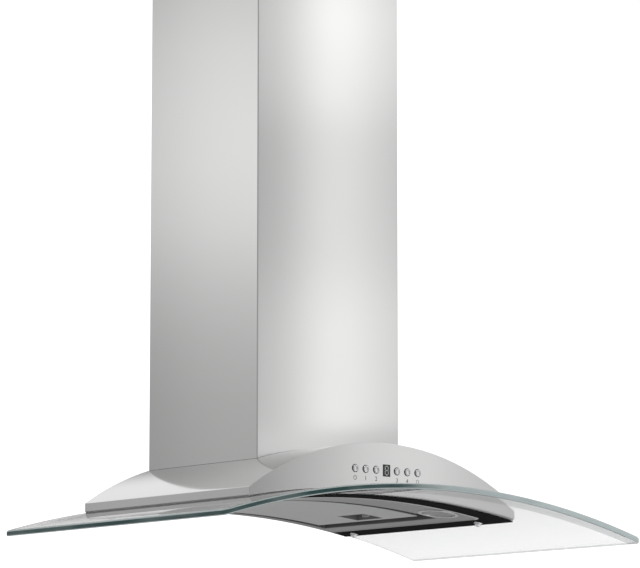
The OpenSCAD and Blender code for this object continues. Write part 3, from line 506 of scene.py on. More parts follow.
def own_mesh(piece):
    """Replaces a piece's mesh by its evaluated one and drops its modifiers."""
    graph = bpy.context.evaluated_depsgraph_get()
    mesh = bpy.data.meshes.new_from_object(piece.evaluated_get(graph))
    piece.modifiers.clear()
    piece.data = mesh


SHARP_FROM = 30


def fit_in(piece, body, nodes):
    """Lets a piece ride on its body and stand for its CAD nodes."""
    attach(piece, body)
    if nodes:
        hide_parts(*nodes)
    print(piece.name, len(piece.data.polygons), "faces")
    return piece


def make_piece(name, bm, material, body="root", nodes=()):
    """Turns a bmesh into a finished piece that rides on a body and stands for CAD nodes."""
    mesh = bpy.data.meshes.new(name)
    bm.to_mesh(mesh)
    bm.free()
    mesh.materials.append(material)
    mesh.shade_smooth()
    mesh.set_sharp_from_angle(angle=math.radians(SHARP_FROM))
    piece = add_object(name, mesh)
    weighted = piece.modifiers.new("weighted", "WEIGHTED_NORMAL")
    weighted.keep_sharp = True
    own_mesh(piece)
    return fit_in(piece, body, nodes)


# %% [markdown]
# The canopy is one sheet of 8 mm glass, cut, polished along its edges and bent in a mould. Its
# front corners are rounded, and an opening for the steel bottom plate is cut in from the back.
# Its faces get their finish by slope: steep ones are the edge's core, half steep ones its arris,
# and a strip of the underside behind the front edge is a little greyer, widest in the middle.

# %% Glass canopy
GLASS_EDGE = 2.6 * MM
GLASS_FRONT_R, GLASS_BACK_R = 10 * MM, 3 * MM
GLASS_HOLE_R, FRAME_HOLE_R, FLANGE_HOLE_R = 4.5 * MM, 4 * MM, 3.5 * MM
NOTCH_HALF, NOTCH_D, NOTCH_R = 217 * MM, 328 * MM, 12 * MM
BOLTS = [(x * MM, y * MM) for x in (-228, 228) for y in (-38, -306)]
MARGIN_MID, MARGIN_END = 56 * MM, 22 * MM
CORE_BELOW, ARRIS_BELOW = 0.4, 0.93
CANOPY, MARGIN, CORE, ARRIS = 0, 1, 2, 3


def with_notch(outline, half, depth, r, back=0.0):
    """An outline with an opening cut in from the back, before its last corner."""
    notch = ([(half, back)] + arc_points(half - r, -depth + r, r, 0, -90, 8)
             + arc_points(-half + r, -depth + r, r, -90, -180, 8) + [(-half, back)])
    last = len(outline) // 4
    return outline[:-last] + notch + outline[-last:]


def bolt_holes(r):
    return [circle_points(x, y, r, 24) for x, y in BOLTS]


canopy_plan = rounded_plan(glass_high.x, glass_low.y, 0, GLASS_FRONT_R, GLASS_BACK_R)
canopy_plan = with_notch(canopy_plan, NOTCH_HALF, NOTCH_D, NOTCH_R)
canopy_loops = [(canopy_plan, edge_levels(GLASS_T, GLASS_EDGE, 4))]
canopy_loops += [(hole, edge_levels(GLASS_T, 0)) for hole in bolt_holes(GLASS_HOLE_R)]
canopy_mesh = bend(loft(canopy_loops), glass_low_r, 6 * MM)
narrowing = (MARGIN_MID - MARGIN_END) / glass_high.x
for side in (-1, 1):
    bmesh.ops.bisect_plane(canopy_mesh, geom=whole(canopy_mesh), plane_no=(side * narrowing, 1, 0),
                           plane_co=(0, glass_low.y + MARGIN_MID, 0))
canopy = make_piece("canopy_glass", canopy_mesh, canopy_glass, nodes=["glass_canopy"])
for material in (margin_glass, glass_core_painted_light, glass_arris):
    canopy.data.materials.append(material)
for face in canopy.data.polygons:
    margin_y = glass_low.y + MARGIN_MID - narrowing * abs(face.center.x)
    if abs(face.normal.z) < CORE_BELOW:
        face.material_index = CORE
    elif abs(face.normal.z) < ARRIS_BELOW:
        face.material_index = ARRIS
    elif face.normal.z < 0 and face.center.y < margin_y:
        face.material_index = MARGIN
print("clear faces", sum(face.material_index == CANOPY for face in canopy.data.polygons))

# %% [markdown]
# Under the glass a black enamelled frame is clamped by the four bolts. It hides the seam
# between the glass and the steel plate. Its edges are only slightly broken.

# %% Black frame under the glass
frame_low, frame_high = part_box("under_frame")
frame_plan = rounded_plan(frame_high.x, frame_low.y, 0, 1 * MM, 1 * MM)
frame_plan = with_notch(frame_plan, NOTCH_HALF - 1 * MM, NOTCH_D - 1 * MM, NOTCH_R)
frame_slab = slab(frame_plan, bolt_holes(FRAME_HOLE_R), UNDER_T, 0.2 * MM, 0.0)
make_piece("under_frame_black", bend(frame_slab, under_low_r), black_enamel,
           nodes=["under_frame"])

# %% [markdown]
# The body is bent from one sheet: an arched roof, a narrow upright strip at each end, and a
# flange turned in over the glass. The roof has an opening where the blower box comes through.
# A closed profile is offset by the sheet's thickness and drawn along the depth.

# %% Body shell
def offset_path(path, distance):
    """The path moved to its right by a distance."""
    moved = []
    for i, here in enumerate(path):
        a = (Vector(here) - Vector(path[i - 1])).normalized() if i else None
        b = (Vector(path[i + 1]) - Vector(here)).normalized() if i + 1 < len(path) else None
        a, b = a or b, b or a
        na, nb = Vector((a.y, -a.x)), Vector((b.y, -b.x))
        moved.append(Vector(here) + distance * (na + nb) / (1 + na.dot(nb)))
    return moved


def folded_sheet(path, thickness, stations, hole):
    """A sheet along a path in X and Z, through stations in Y, with one opening (x, y0, y1)."""
    bm = bmesh.new()
    inner = offset_path(path, thickness)
    front, back = [[[bm.verts.new((p[0], y, p[1])) for y in stations] for p in side]
                   for side in (path, inner)]

    def is_open(i, j):
        if not (0 <= i < len(path) - 1 and 0 <= j < len(stations) - 1):
            return True
        x = (path[i][0] + path[i + 1][0]) / 2
        y = (stations[j] + stations[j + 1]) / 2
        return abs(x) < hole[0] and hole[1] < y < hole[2]

    def wall(a, b):
        """Joins the two faces of the sheet along one step of the grid."""
        bm.faces.new((front[a[0]][a[1]], front[b[0]][b[1]], back[b[0]][b[1]], back[a[0]][a[1]]))

    for i in range(-1, len(path)):
        for j in range(-1, len(stations)):
            if not is_open(i, j):
                for g in (front, back):
                    bm.faces.new((g[i][j], g[i + 1][j], g[i + 1][j + 1], g[i][j + 1]))
            if i + 1 < len(path) and j + 1 < len(stations):
                if j >= 0 and is_open(i, j) != is_open(i + 1, j):
                    wall((i + 1, j), (i + 1, j + 1))
                if i >= 0 and is_open(i, j) != is_open(i, j + 1):
                    wall((i, j + 1), (i + 1, j + 1))
    bmesh.ops.recalc_face_normals(bm, faces=bm.faces)
    return bm


OPENING_HALF, OPENING_FRONT, OPENING_BACK = 87 * MM, -222 * MM, -12 * MM
CORNER_R = 1.2 * MM
KNEE_DROP = 0.9 * MM
FLANGE_W, FLANGE_OPENING_D = 30 * MM, 327 * MM
ROOF_STEPS = 60
roof_angle = math.asin(body_half / roof_r)
strip_foot = bend_z + math.sqrt(seal_top_r ** 2 - body_half ** 2)
tilt = math.degrees(math.pi / 2 - roof_angle)
knee = arc_points(-body_half + CORNER_R, end_z - KNEE_DROP, CORNER_R, 180, 180 - tilt * 0.9, 4)
arc_half = body_half - 4 * MM
arc_x = [-arc_half + i * 2 * arc_half / ROOF_STEPS for i in range(ROOF_STEPS + 1)]
arc_x = [x for x in arc_x if abs(abs(x) - OPENING_HALF) > 3 * MM]
arc_x = sorted(arc_x + [-OPENING_HALF, OPENING_HALF])
roof_arc = [(x, roof_axis_z + math.sqrt(roof_r ** 2 - x ** 2)) for x in arc_x]
left_side = [(-body_half, strip_foot)] + knee
section = left_side + roof_arc + [(-x, z) for x, z in reversed(left_side)]
shell = folded_sheet(section, SHEET, [body_low.y, OPENING_FRONT, OPENING_BACK, body_high.y],
                     (OPENING_HALF, OPENING_FRONT, OPENING_BACK))
flange_plan = with_notch(rounded_plan(body_half, body_low.y, body_high.y, 0.5 * MM, 0.5 * MM),
                         body_half - FLANGE_W, FLANGE_OPENING_D, NOTCH_R, body_high.y)
flange = bend(slab(flange_plan, bolt_holes(FLANGE_HOLE_R), SHEET, 0.3 * MM), seal_top_r)
make_piece("body_roof_and_flange", joined(shell, flange), steel_across, nodes=["body_shell"])

# %% [markdown]
# The control panel is a separate steel front, laser-cut with six button holes and a window.
# Its lower edge follows the glass and its upper edge follows the roof.

# %% Control panel
BUTTON_PITCH, BUTTON_HOLE_R = 19.2 * MM, 5.45 * MM
BUTTON_XS = [i * BUTTON_PITCH for i in (-3, -2, -1, 1, 2, 3)]
BUTTON_Z = crown_z + 27.4 * MM
WINDOW_HALF_W, WINDOW_HALF_H = 6.75 * MM, 8.25 * MM


def arc_row(r, axis_z, half, count=60):
    xs = [-half + i * 2 * half / count for i in range(count + 1)]
    return [(x, axis_z + math.sqrt(r * r - x * x)) for x in xs]


lower_edge = arc_row(seal_top_r, bend_z, body_half)
upper_edge = arc_row(roof_r, roof_axis_z, body_half)
front_outline = lower_edge + upper_edge[::-1]
button_holes = [circle_points(x, BUTTON_Z, BUTTON_HOLE_R, 32) for x in BUTTON_XS]
window = rounded_plan(WINDOW_HALF_W, BUTTON_Z - WINDOW_HALF_H, BUTTON_Z + WINDOW_HALF_H, 0.6 * MM,
                      0.6 * MM, 3)
front_slab = slab(front_outline, [*button_holes, window], SHEET, 0.35 * MM, 0.15 * MM)
make_piece("control_panel_front", stand(front_slab, face_y), steel_across,
           nodes=["control_panel"])

# %% [markdown]
# The plate under the hood is a shallow tray: its edge is folded up against the frame, and the
# intake opening has a rim folded up to carry the grease filter. A low polished bead runs along
# the folded edge, in a steel painted brighter than the plate's: a painted highlight that shows
# as a bright line round its corners.

# %% Bottom plate
plate_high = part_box("bottom_plate")[1]
RIM_TOP = crown_z + 4 * MM
FOLD_R = 1.4 * MM
PLATE_FRONT = -326.5 * MM
INTAKE_HALF, INTAKE_FRONT, INTAKE_BACK = 190 * MM, -257 * MM, -12 * MM
LAMP_X, LAMP_Y, LAMP_HOLE_R = 163 * MM, -292 * MM, 26.5 * MM
INTAKE_RIM_H = 60 * MM
BEAD_PROFILE = [(0, 4.6), (-0.3, 4.2), (-0.6, 3.4), (-0.7, 2.8), (-0.6, 2.1), (-0.3, 1.3),
                (0.2, 0.5), (1.4, 0)]
BEAD_REACH = 5.5 * MM
BEAD_FACE = 20 * MM * MM
plate_outline = rounded_plan(plate_high.x, PLATE_FRONT, plate_high.y, NOTCH_R, 0.8 * MM)
intake = rounded_plan(INTAKE_HALF, INTAKE_FRONT, INTAKE_BACK, 3 * MM, 3 * MM, 4)
fold = [(0, FOLD_R), (0.293 * FOLD_R, 0.293 * FOLD_R), (FOLD_R, 0)]
skirt_h = seal_top_r - 0.2 * MM - plate_low_r
lamp_xs = [side * plate_low_r / GLASS_R * LAMP_X for side in (-1, 1)]
lamp_holes = [(circle_points(x, LAMP_Y, LAMP_HOLE_R), edge_levels(SHEET, 0)) for x in lamp_xs]
bead = [(h * MM, inset * MM) for h, inset in BEAD_PROFILE]
plate = loft([(plate_outline, bead + [(skirt_h, 0), (skirt_h, SHEET), (SHEET, SHEET)]),
              (intake, fold + [(INTAKE_RIM_H, 0), (INTAKE_RIM_H, SHEET), (SHEET, SHEET)]),
              *lamp_holes])
plate = make_piece("bottom_plate_tray", bend(plate, plate_low_r, top_z=RIM_TOP), steel_plate,
                   nodes=["bottom_plate", "intake_rim"])


def paint_fold_shade(piece):
    """Gives the upright faces of folded edges a darker steel: painted shade for the gaps they face.
    """
    piece.data.materials.append(steel_fold_painted_shade)
    for face in piece.data.polygons:
        if abs(face.normal.z) < 0.5:
            face.material_index = 1


# Painted shade: the plate's upright folded faces get the darker steel.
paint_fold_shade(plate)
# Painted highlight: the bead's sloping faces get the brighter steel.
plate.data.materials.append(steel_bead_painted_highlight)
for face in plate.data.polygons:
    near_side = abs(face.center.x) > plate_high.x - BEAD_REACH
    near_front = face.center.y < PLATE_FRONT + BEAD_REACH
    if (near_side or near_front) and -0.995 < face.normal.z < -0.2 and face.area < BEAD_FACE:
        face.material_index = 2

# %% [markdown]
# The suction panel hangs just inside the intake, so that the air is drawn in through the gap
# round it. It is a tray too, with folded edges and a square opening for the finger cup.

# %% Suction panel
PANEL_HALF, PANEL_FRONT, PANEL_BACK, PANEL_FOLD_H = 168 * MM, 243 * MM, 26 * MM, 9 * MM
CUP_X, CUP_Y, CUP_W, CUP_L, CUP_DEPTH = 140 * MM, -149.5 * MM, 39 * MM, 57 * MM, 11 * MM
HINGE_X, HINGE_YS = -178 * MM, (-72 * MM, -198 * MM)
ARM_X, ARM_W, ARM_D, ARM_T = -173 * MM, 11 * MM, 8 * MM, 5 * MM
HINGE_RISE, EYE_R, EYE_L = 6.7 * MM, 4 * MM, 8 * MM
hinge_z = bend_z + math.sqrt(plate_low_r ** 2 - PANEL_HALF ** 2) + HINGE_RISE


def rectangle(cx, cy, w, h, r=0.6 * MM, steps=3):
    return [(cx + x, cy + y) for x, y in rounded_plan(w / 2, -h / 2, h / 2, r, r, steps)]


def tube_along_y(x, y, z, r, length):
    place = Matrix.Translation((x, y - length / 2, z)) @ Matrix.Rotation(-math.pi / 2, 4, "X")
    break_r = r * 0.1
    profile = [(0, 0), (r - break_r, 0), (r, break_r), (r, length - break_r), (r - break_r, length),
               (0, length)]
    return lathe(profile, 32, place)


panel_outline = rounded_plan(PANEL_HALF, -PANEL_FRONT, -PANEL_BACK, 3 * MM, 3 * MM, 4)
panel_levels = fold + [(PANEL_FOLD_H, 0), (PANEL_FOLD_H, SHEET), (SHEET, SHEET)]
cup_hole = rectangle(CUP_X, CUP_Y, CUP_W, CUP_L)
tray = loft([(panel_outline, panel_levels), (cup_hole, edge_levels(SHEET, 0.2 * MM))])
eyes = [tube_along_y(HINGE_X, y, hinge_z, EYE_R, EYE_L) for y in HINGE_YS]
arms = []
for y in HINGE_YS:
    arm = slab(rectangle(0, y, ARM_W, ARM_D), [], ARM_T, 0.4 * MM)
    bmesh.ops.translate(arm, verts=arm.verts, vec=(ARM_X, 0, hinge_z - ARM_T / 2))
    arms.append(arm)
tray = joined(bend(tray, plate_low_r), *eyes, *arms)
tray = make_piece("suction_panel_tray", tray, steel_inner, "panel",
                  ["suction_panel", "panel_hinge_eyes"])
# Painted shade: the panel's upright folded faces get the darker steel.
paint_fold_shade(tray)

# %% [markdown]
# The finger cup is a small moulded tray, sunk in the panel's opening. Its rim lies on the
# sheet, its walls lean in a little so that it leaves its mould, and its floor is rounded.

# %% Finger cup
cup_rim = rectangle(CUP_X, CUP_Y, CUP_W - 0.2 * MM, CUP_L - 0.2 * MM, 1.5 * MM, 4)
cup_wall = 1.2 * MM
cup_levels = [(CUP_DEPTH, 3.2 * MM), (CUP_DEPTH - 1 * MM, 2.2 * MM), (0.4 * MM, cup_wall),
              (0, cup_wall * 0.7), (0, 0.2 * MM), (0.3 * MM, 0), (CUP_DEPTH, 1.5 * MM),
              (CUP_DEPTH + cup_wall, 3 * MM)]
make_piece("finger_cup", bend(loft([(cup_rim, cup_levels)]), plate_low_r), cup_grey, "panel",
           ["pull_cup"])

# %% [markdown]
# The chimney is two boxes of brushed sheet, open at the wall, one sliding inside the other.
# A press brake leaves a small radius along each corner, and that radius carries a thin bright
# line from top to bottom. The lower cover's foot is cut to the roof's arch.

# %% Chimney covers
COVER_RETURN = 12 * MM


def cover(node, foot_r=None, corner=1.6 * MM):
    low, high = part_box(node)
    x, front, back = high.x - corner, low.y + corner, high.y - corner
    lip_x = high.x - COVER_RETURN
    inner_r = corner - SHEET
    outline = (arc_points(-x, front, corner, 180, 270, 6)
               + arc_points(x, front, corner, 270, 360, 6)
               + arc_points(x, back, corner, 0, 90, 6) + [(lip_x, high.y), (lip_x, high.y - SHEET)]
               + arc_points(x, back, inner_r, 90, 0, 6) + arc_points(x, front, inner_r, 360, 270, 6)
               + arc_points(-x, front, inner_r, 270, 180, 6)
               + arc_points(-x, back, inner_r, 180, 90, 6)
               + [(-lip_x, high.y - SHEET), (-lip_x, high.y)]
               + arc_points(-x, back, corner, 90, 180, 6))
    bm = slab(outline, [], high.z - low.z, 0)
    cut_across(bm, 12 * MM)
    for v in bm.verts:
        if foot_r and v.co.z < 1e-6:
            v.co.z = roof_axis_z + math.sqrt(foot_r ** 2 - v.co.x ** 2)
        else:
            v.co.z += low.z
    return bm


make_piece("lower_chimney_cover", cover("lower_chimney", roof_r + 0.2 * MM), steel_upright,
           nodes=["lower_chimney"])
make_piece("upper_chimney_cover", cover("upper_chimney"), steel_upright, "upper_cover",
           ["upper_chimney"])

# %% [markdown]
# The six buttons are turned caps with a shallow dish, each in a chrome ring. The labels below
# them are printed: a power ring, the fan's four speeds and a lamp.

# %% Buttons and labels
def facing_front(x, y, z):
    """Turns a lathed piece's axis from +Z to the hood's front, -Y."""
    return Matrix.Translation((x, y, z)) @ Matrix.Rotation(math.pi / 2, 4, "X")


def in_mm(pairs):
    """A profile written in millimetres, as (radius, height), in metres."""
    return [(a * MM, b * MM) for a, b in pairs]


BUTTON_PROFILE = [(0, -6.4), (5.6, -6.4), (5.6, -5.2), (4.7, -5.2), (4.7, 0.8), (4.62, 1.25),
                  (4.42, 1.65), (4.1, 1.9), (3.85, 1.95), (3.7, 1.85), (3.4, 1.55), (2.6, 1.25),
                  (1.6, 1.03), (0.8, 0.93), (0, 0.9)]
for number, x in enumerate(BUTTON_XS, 1):
    cap = lathe(in_mm(BUTTON_PROFILE), 40, facing_front(x, face_y, BUTTON_Z))
    make_piece(f"button_cap_{number}", cap, cap_satin, f"button_{number}", [f"button_{number}"])


INK_T = 0.04 * MM
INK_Y = face_y - 0.06 * MM


def text_mesh(text, size, x, z):
    curve = bpy.data.curves.new("label", "FONT")
    curve.body = text
    curve.size = size
    curve.align_x = "CENTER"
    curve.align_y = "CENTER"
    curve.extrude = INK_T / 2
    holder = bpy.data.objects.new("label", curve)
    bm = bmesh.new()
    bm.from_mesh(holder.to_mesh())
    holder.to_mesh_clear()
    bpy.data.objects.remove(holder)
    bm.transform(facing_front(x, face_y - 0.05 * MM, z))
    return bm


def ring_mark(x, z, r, width, start, stop):
    outer = arc_points(x, z, r, start, stop, 24)
    inner = arc_points(x, z, r - width, stop, start, 24)
    return stand(slab(outer + inner, [], INK_T, 0), INK_Y)


def bar_mark(x, z, w, h):
    return stand(slab(rectangle(x, z, w, h, 0.05 * MM, 2), [], INK_T, 0), INK_Y)


LABEL_Z = crown_z + 14.6 * MM
power_x, lamp_x = BUTTON_XS[0], BUTTON_XS[-1]
power = [ring_mark(power_x, LABEL_Z, 3.1 * MM, 0.7 * MM, 120, 420),
         bar_mark(power_x, LABEL_Z + 2.1 * MM, 0.7 * MM, 3.2 * MM)]
lamp_mark = [ring_mark(lamp_x, LABEL_Z + 0.8 * MM, 2.5 * MM, 0.6 * MM, -60, 240),
             bar_mark(lamp_x, LABEL_Z - 2.4 * MM, 1.9 * MM, 1.3 * MM)]
digits = [text_mesh(str(i + 1), 8.5 * MM, BUTTON_XS[i + 1], LABEL_Z) for i in range(4)]
make_piece("printed_labels", joined(*power, *lamp_mark, *digits), label_ink)

# %% [markdown]
# Behind the smoked window a seven segment digit is lit. It is made of seven thin bars that lie
# just in front of the window's face, where they show clearly.

# %% Display digit
def segment(x, z, w, h):
    return stand(slab(rectangle(x, z, w, h, 0.2 * MM, 2), [], 0.05 * MM, 0), face_y - 0.4 * MM)


SEG_W, SEG_H, SEG_T = 5.4 * MM, 5.9 * MM, 1.1 * MM
bars = [segment(0, BUTTON_Z + k * SEG_H, SEG_W - SEG_T, SEG_T) for k in (-1, 0, 1)]
posts = [segment(sx * SEG_W / 2, BUTTON_Z + k * SEG_H / 2, SEG_T, SEG_H - SEG_T)
         for sx in (-1, 1) for k in (-1, 1)]
make_piece("display_segments", joined(*bars, *posts), digit_lit)

# %% [markdown]
# What repeats is made with geometry nodes: one ring, nut, screw or blade is built from a few
# named sizes and set on points. These helpers start a group with its named inputs, add the
# shapes that repeat, and end the group in real geometry with its finish on it.

# %% Helpers for geometry nodes
SOCKET_KINDS = {float: "NodeSocketFloat", int: "NodeSocketInt", tuple: "NodeSocketVector"}


def node_group(name, inputs):
    """A group that works on points, with named inputs that start with their usual sizes."""
    group = bpy.data.node_groups.new(name, "GeometryNodeTree")
    group.interface.new_socket("Geometry", in_out="INPUT", socket_type="NodeSocketGeometry")
    for label, value in inputs.items():
        kind = SOCKET_KINDS[type(value)]
        socket = group.interface.new_socket(label, in_out="INPUT", socket_type=kind)
        socket.default_value = value
    group.interface.new_socket("Geometry", in_out="OUTPUT", socket_type="NodeSocketGeometry")
    return group, put(group, "NodeGroupInput").outputs


def circle(group, resolution, radius):
    return put(group, "GeometryNodeCurvePrimitiveCircle",
               {"Resolution": resolution, "Radius": radius})


def cylinder(group, sides, radius, depth):
    return put(group, "GeometryNodeMeshCylinder",
               {"Vertices": sides, "Radius": radius, "Depth": depth})


def sphere(group, segments, rings, radius):
    return put(group, "GeometryNodeMeshUVSphere",
               {"Segments": segments, "Rings": rings, "Radius": radius})


def swept(group, curve, profile):
    return put(group, "GeometryNodeCurveToMesh", {"Curve": curve, "Profile Curve": profile})


def along_z(group, z, x=0, y=0):
    return put(group, "ShaderNodeCombineXYZ", {"X": x, "Y": y, "Z": z})


def turned_to(group, direction, axis="Z", **settings):
    """A rotation that turns an axis to a direction."""
    return put(group, "FunctionNodeAlignRotationToVector", {"Vector": direction}, axis=axis,
               **settings)


def shifted(group, geometry, translation, **places):
    return put(group, "GeometryNodeTransform",
               {"Geometry": geometry, "Translation": translation, **places})


def union_of(group, *parts):
    join = group.nodes.new("GeometryNodeJoinGeometry")
    for part in parts:
        fill(group, join, {"Geometry": part})
    return join


def set_on_points(group, points, instance, turn):
    """Sets an instance on every point, turned by a rotation."""
    return put(group, "GeometryNodeInstanceOnPoints",
               {"Points": points, "Instance": instance, "Rotation": turn})


def finished(group, inputs, instance, turn, material):
    """Sets an instance on the group's points, as real geometry with its finish on it."""
    placed = set_on_points(group, inputs["Geometry"], instance, turn)
    real = put(group, "GeometryNodeRealizeInstances", {"Geometry": placed})
    painted = put(group, "GeometryNodeSetMaterial", {"Geometry": real, "Material": material})
    put(group, "NodeGroupOutput", {"Geometry": painted})
    return group


def grown_piece(name, points, group, values, body, node, sharp=35):
    """Runs a node group on a few points and keeps the realised mesh as a piece."""
    mesh = bpy.data.meshes.new(name)
    mesh.from_pydata([tuple(p) for p in points], [], [])
    piece = add_object(name, mesh)
    modifier = piece.modifiers.new("grow", "NODES")
    modifier.node_group = group
    for item in group.interface.items_tree:
        if item.in_out == "INPUT" and item.name in values:
            modifier[item.identifier] = values[item.name]
    own_mesh(piece)
    piece.data.shade_smooth()
    piece.data.set_sharp_from_angle(angle=math.radians(sharp))
    return fit_in(piece, body, [node])


# %% [markdown]
# Each button sits in a round wire ring of dark chrome. The group sweeps a small circle round a
# big one and sets the result on six points, turned to face the front.

# %% Button bezels
def ring_group(material):
    group, sizes = node_group("chrome_rings", {"Ring radius": 5.2 * MM, "Wire radius": 0.45 * MM})
    ring = swept(group, circle(group, 48, sizes["Ring radius"]),
                 circle(group, 16, sizes["Wire radius"]))
    turn = put(group, "FunctionNodeEulerToRotation", {"Euler": (math.pi / 2, 0, 0)})
    return finished(group, sizes, ring, turn, material)


bezel_points = [(x, face_y - 0.2 * MM, BUTTON_Z) for x in BUTTON_XS]
grown_piece("button_rings", bezel_points, ring_group(ring_chrome), {}, "root", "button_bezels",
            60)

# %% [markdown]
# Four cap nuts hold the glass from below. A cap nut is a short hexagon with a ball on its end,
# and its hexagon's outer corners are turned off. A cylinder and a cone of six sides and a
# sphere give that; the group sets one on each point and turns it to its own radius of the
# bend, so the nuts on the left lean left and those on the right lean right.

# %% Cap nuts
NUT_H, CHAMFER_H, CHAMFER_SHARE, DOME_AT = 1.7 * MM, 0.5 * MM, 0.9, 2.2 * MM


def nut_group(material):
    group, sizes = node_group("cap_nuts", {"Corner radius": 6.5 * MM, "Dome radius": 4.9 * MM})
    corner, dome = sizes["Corner radius"], sizes["Dome radius"]
    hexagon = cylinder(group, 6, corner, NUT_H)
    chamfer = put(group, "GeometryNodeMeshCone",
                  {"Radius Top": maths(group, "MULTIPLY", corner, CHAMFER_SHARE),
                   "Radius Bottom": corner, "Vertices": 6, "Depth": CHAMFER_H})
    nut = union_of(group, shifted(group, hexagon, (0, 0, NUT_H / 2)),
                   shifted(group, chamfer, (0, 0, NUT_H)),
                   shifted(group, sphere(group, 32, 16, dome), (0, 0, DOME_AT)))
    here = put(group, "GeometryNodeInputPosition")
    outward = put(group, "ShaderNodeVectorMath", {0: here, 1: (-1, 0, -1)}, operation="MULTIPLY")
    from_axis = put(group, "ShaderNodeVectorMath", {0: outward, 1: (0, 0, bend_z)},
                    operation="ADD")
    turn = turned_to(group, from_axis)
    return finished(group, sizes, nut, turn, material)


def on_bend(x, y, r):
    """The place and the lean at a radius of the bend, on the radial line through x on the glass."""
    lean = Matrix.Rotation(math.asin(x / GLASS_R), 4, "Y")
    return Matrix.Translation((0, y, bend_z)) @ lean @ Matrix.Translation((0, 0, r))


nut_points = [on_bend(x, y, under_low_r - UNDER_GAP).translation for x, y in BOLTS]
grown_piece("cap_nuts_chrome", nut_points, nut_group(chrome), {}, "root", "cap_nuts")

# %% [markdown]
# The screws that hold the collar and the motor's bracket have pan heads with a hexagon socket.
# They are small and hidden most of the time, so a squashed ball on a rim, with a shank below,
# is enough, and one group sets it on every screw's place with the turn that its face needs.

# %% Pan head screws
HEAD_RIM_H, HEAD_SQUASH, HEAD_AT = 0.7 * MM, 0.34, 0.65 * MM
SOCKET_R, SOCKET_D, SOCKET_AT, SHANK_R = 1.5 * MM, 0.5 * MM, 1.75 * MM, 2 * MM


def screw_group(material):
    group, sizes = node_group("pan_head_screws", {"Head radius": 3.8 * MM,
                                                  "Shank length": 2 * MM, "Facing": (0, 0, 1)})
    head_r, shank_l = sizes["Head radius"], sizes["Shank length"]
    low_at = along_z(group, maths(group, "MULTIPLY", shank_l, -0.5))
    head = shifted(group, sphere(group, 24, 12, head_r), (0, 0, HEAD_AT), Scale=(1, 1, HEAD_SQUASH))
    rim = shifted(group, cylinder(group, 24, head_r, HEAD_RIM_H), (0, 0, HEAD_RIM_H / 2))
    socket = shifted(group, cylinder(group, 6, SOCKET_R, SOCKET_D), (0, 0, SOCKET_AT))
    shank = shifted(group, cylinder(group, 16, SHANK_R, shank_l), low_at)
    screw = union_of(group, head, rim, socket, shank)
    return finished(group, sizes, screw, turned_to(group, sizes["Facing"]), material)


COLLAR_Y, COLLAR_Z = -92.5 * MM, crown_z + 291.2 * MM
COLLAR_SCREW_X, COLLAR_SCREW_Y = 75 * MM, 69.2 * MM
FAN_Y, FAN_Z = -140 * MM, crown_z + 172 * MM
BRACKET_X, BRACKET_R = 58 * MM, 70 * MM
screws = screw_group(screw_steel)
collar_points = [(x * COLLAR_SCREW_X, COLLAR_Y + y * COLLAR_SCREW_Y, COLLAR_Z)
                 for x in (-1, 1) for y in (-1, 1)]
grown_piece("collar_screw_heads", collar_points, screws, {"Shank length": 1.2 * MM}, "root",
            "collar_screws")
bracket_points = []
for angle in (60, 180, 300):
    turn = math.radians(angle)
    bracket_points.append((BRACKET_X, FAN_Y - BRACKET_R * math.sin(turn),
                           FAN_Z + BRACKET_R * math.cos(turn)))
grown_piece("bracket_screw_heads", bracket_points, screws,
            {"Shank length": 5 * MM, "Facing": (1, 0, 0)}, "root", "bracket_screws")

# %% [markdown]
# The grease filter is layers of expanded aluminium: sheet that was slit and pulled, so that
# the slits open into diamonds. Two zigzag grids, one the mirror of the other, meet at their
# corners and give the diamonds; every edge then becomes a thin strand.

# %% Filter mesh
def lattice_group(material):
    group, sizes = node_group("expanded_mesh", {"Width": 0.388, "Depth": 0.253, "Columns": 40,
                                                "Rows": 61, "Strand": 0.45 * MM})
    width, depth, columns, rows, strand = (
        sizes[name] for name in ("Width", "Depth", "Columns", "Rows", "Strand"))
    grid = put(group, "GeometryNodeMeshGrid", {"Size X": width, "Size Y": depth,
                                               "Vertices X": columns, "Vertices Y": rows})
    place = put(group, "ShaderNodeSeparateXYZ", {0: put(group, "GeometryNodeInputPosition")})
    from_edge = maths(group, "ADD", maths(group, "DIVIDE", place.outputs["Y"], depth), 0.5)
    counted = maths(group, "MULTIPLY", from_edge, maths(group, "SUBTRACT", rows, 1))
    row = put(group, "ShaderNodeMath", {0: counted}, operation="ROUND")
    odd = maths(group, "MODULO", row, 2)
    push = maths(group, "MULTIPLY", odd, maths(group, "DIVIDE", width, columns))
    profile = circle(group, 4, strand)
    ends = put(group, "GeometryNodeInputMeshEdgeVertices").outputs
    run = put(group, "ShaderNodeVectorMath", {0: ends["Position 1"], 1: ends["Position 2"]},
              operation="SUBTRACT")
    along = put(group, "ShaderNodeSeparateXYZ", {0: run}).outputs["Y"]
    level = put(group, "FunctionNodeCompare", {"A": along, "B": 0.0, "Epsilon": 0.0001},
                operation="EQUAL")
    halves = []
    for sign in (-0.5, 0.5):
        offset = put(group, "ShaderNodeCombineXYZ", {"X": maths(group, "MULTIPLY", push, sign)})
        zigzag = put(group, "GeometryNodeSetPosition", {"Geometry": grid, "Offset": offset})
        open_rows = put(group, "GeometryNodeDeleteGeometry",
                        {"Geometry": zigzag, "Selection": level}, domain="EDGE", mode="EDGE_FACE")
        strands = swept(group, put(group, "GeometryNodeMeshToCurve", {"Mesh": open_rows}), profile)
        fill(group, strands, {"Fill Caps": True})
        halves.append(strands)
    return finished(group, sizes, union_of(group, *halves), (0, 0, 0), material)


mesh_low, mesh_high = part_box("filter_mesh")
mesh_mid = (mesh_low + mesh_high) / 2
layers = [mesh_mid + Vector(step) * MM for step in ((-1, 0, -1), (1, -1, 1))]
mesh_size = {"Width": mesh_high.x - mesh_low.x - 8 * MM, "Depth": mesh_high.y - mesh_low.y - 6 * MM}
grown_piece("filter_expanded_mesh", layers, lattice_group(aluminium), mesh_size, "root",
            "filter_mesh")

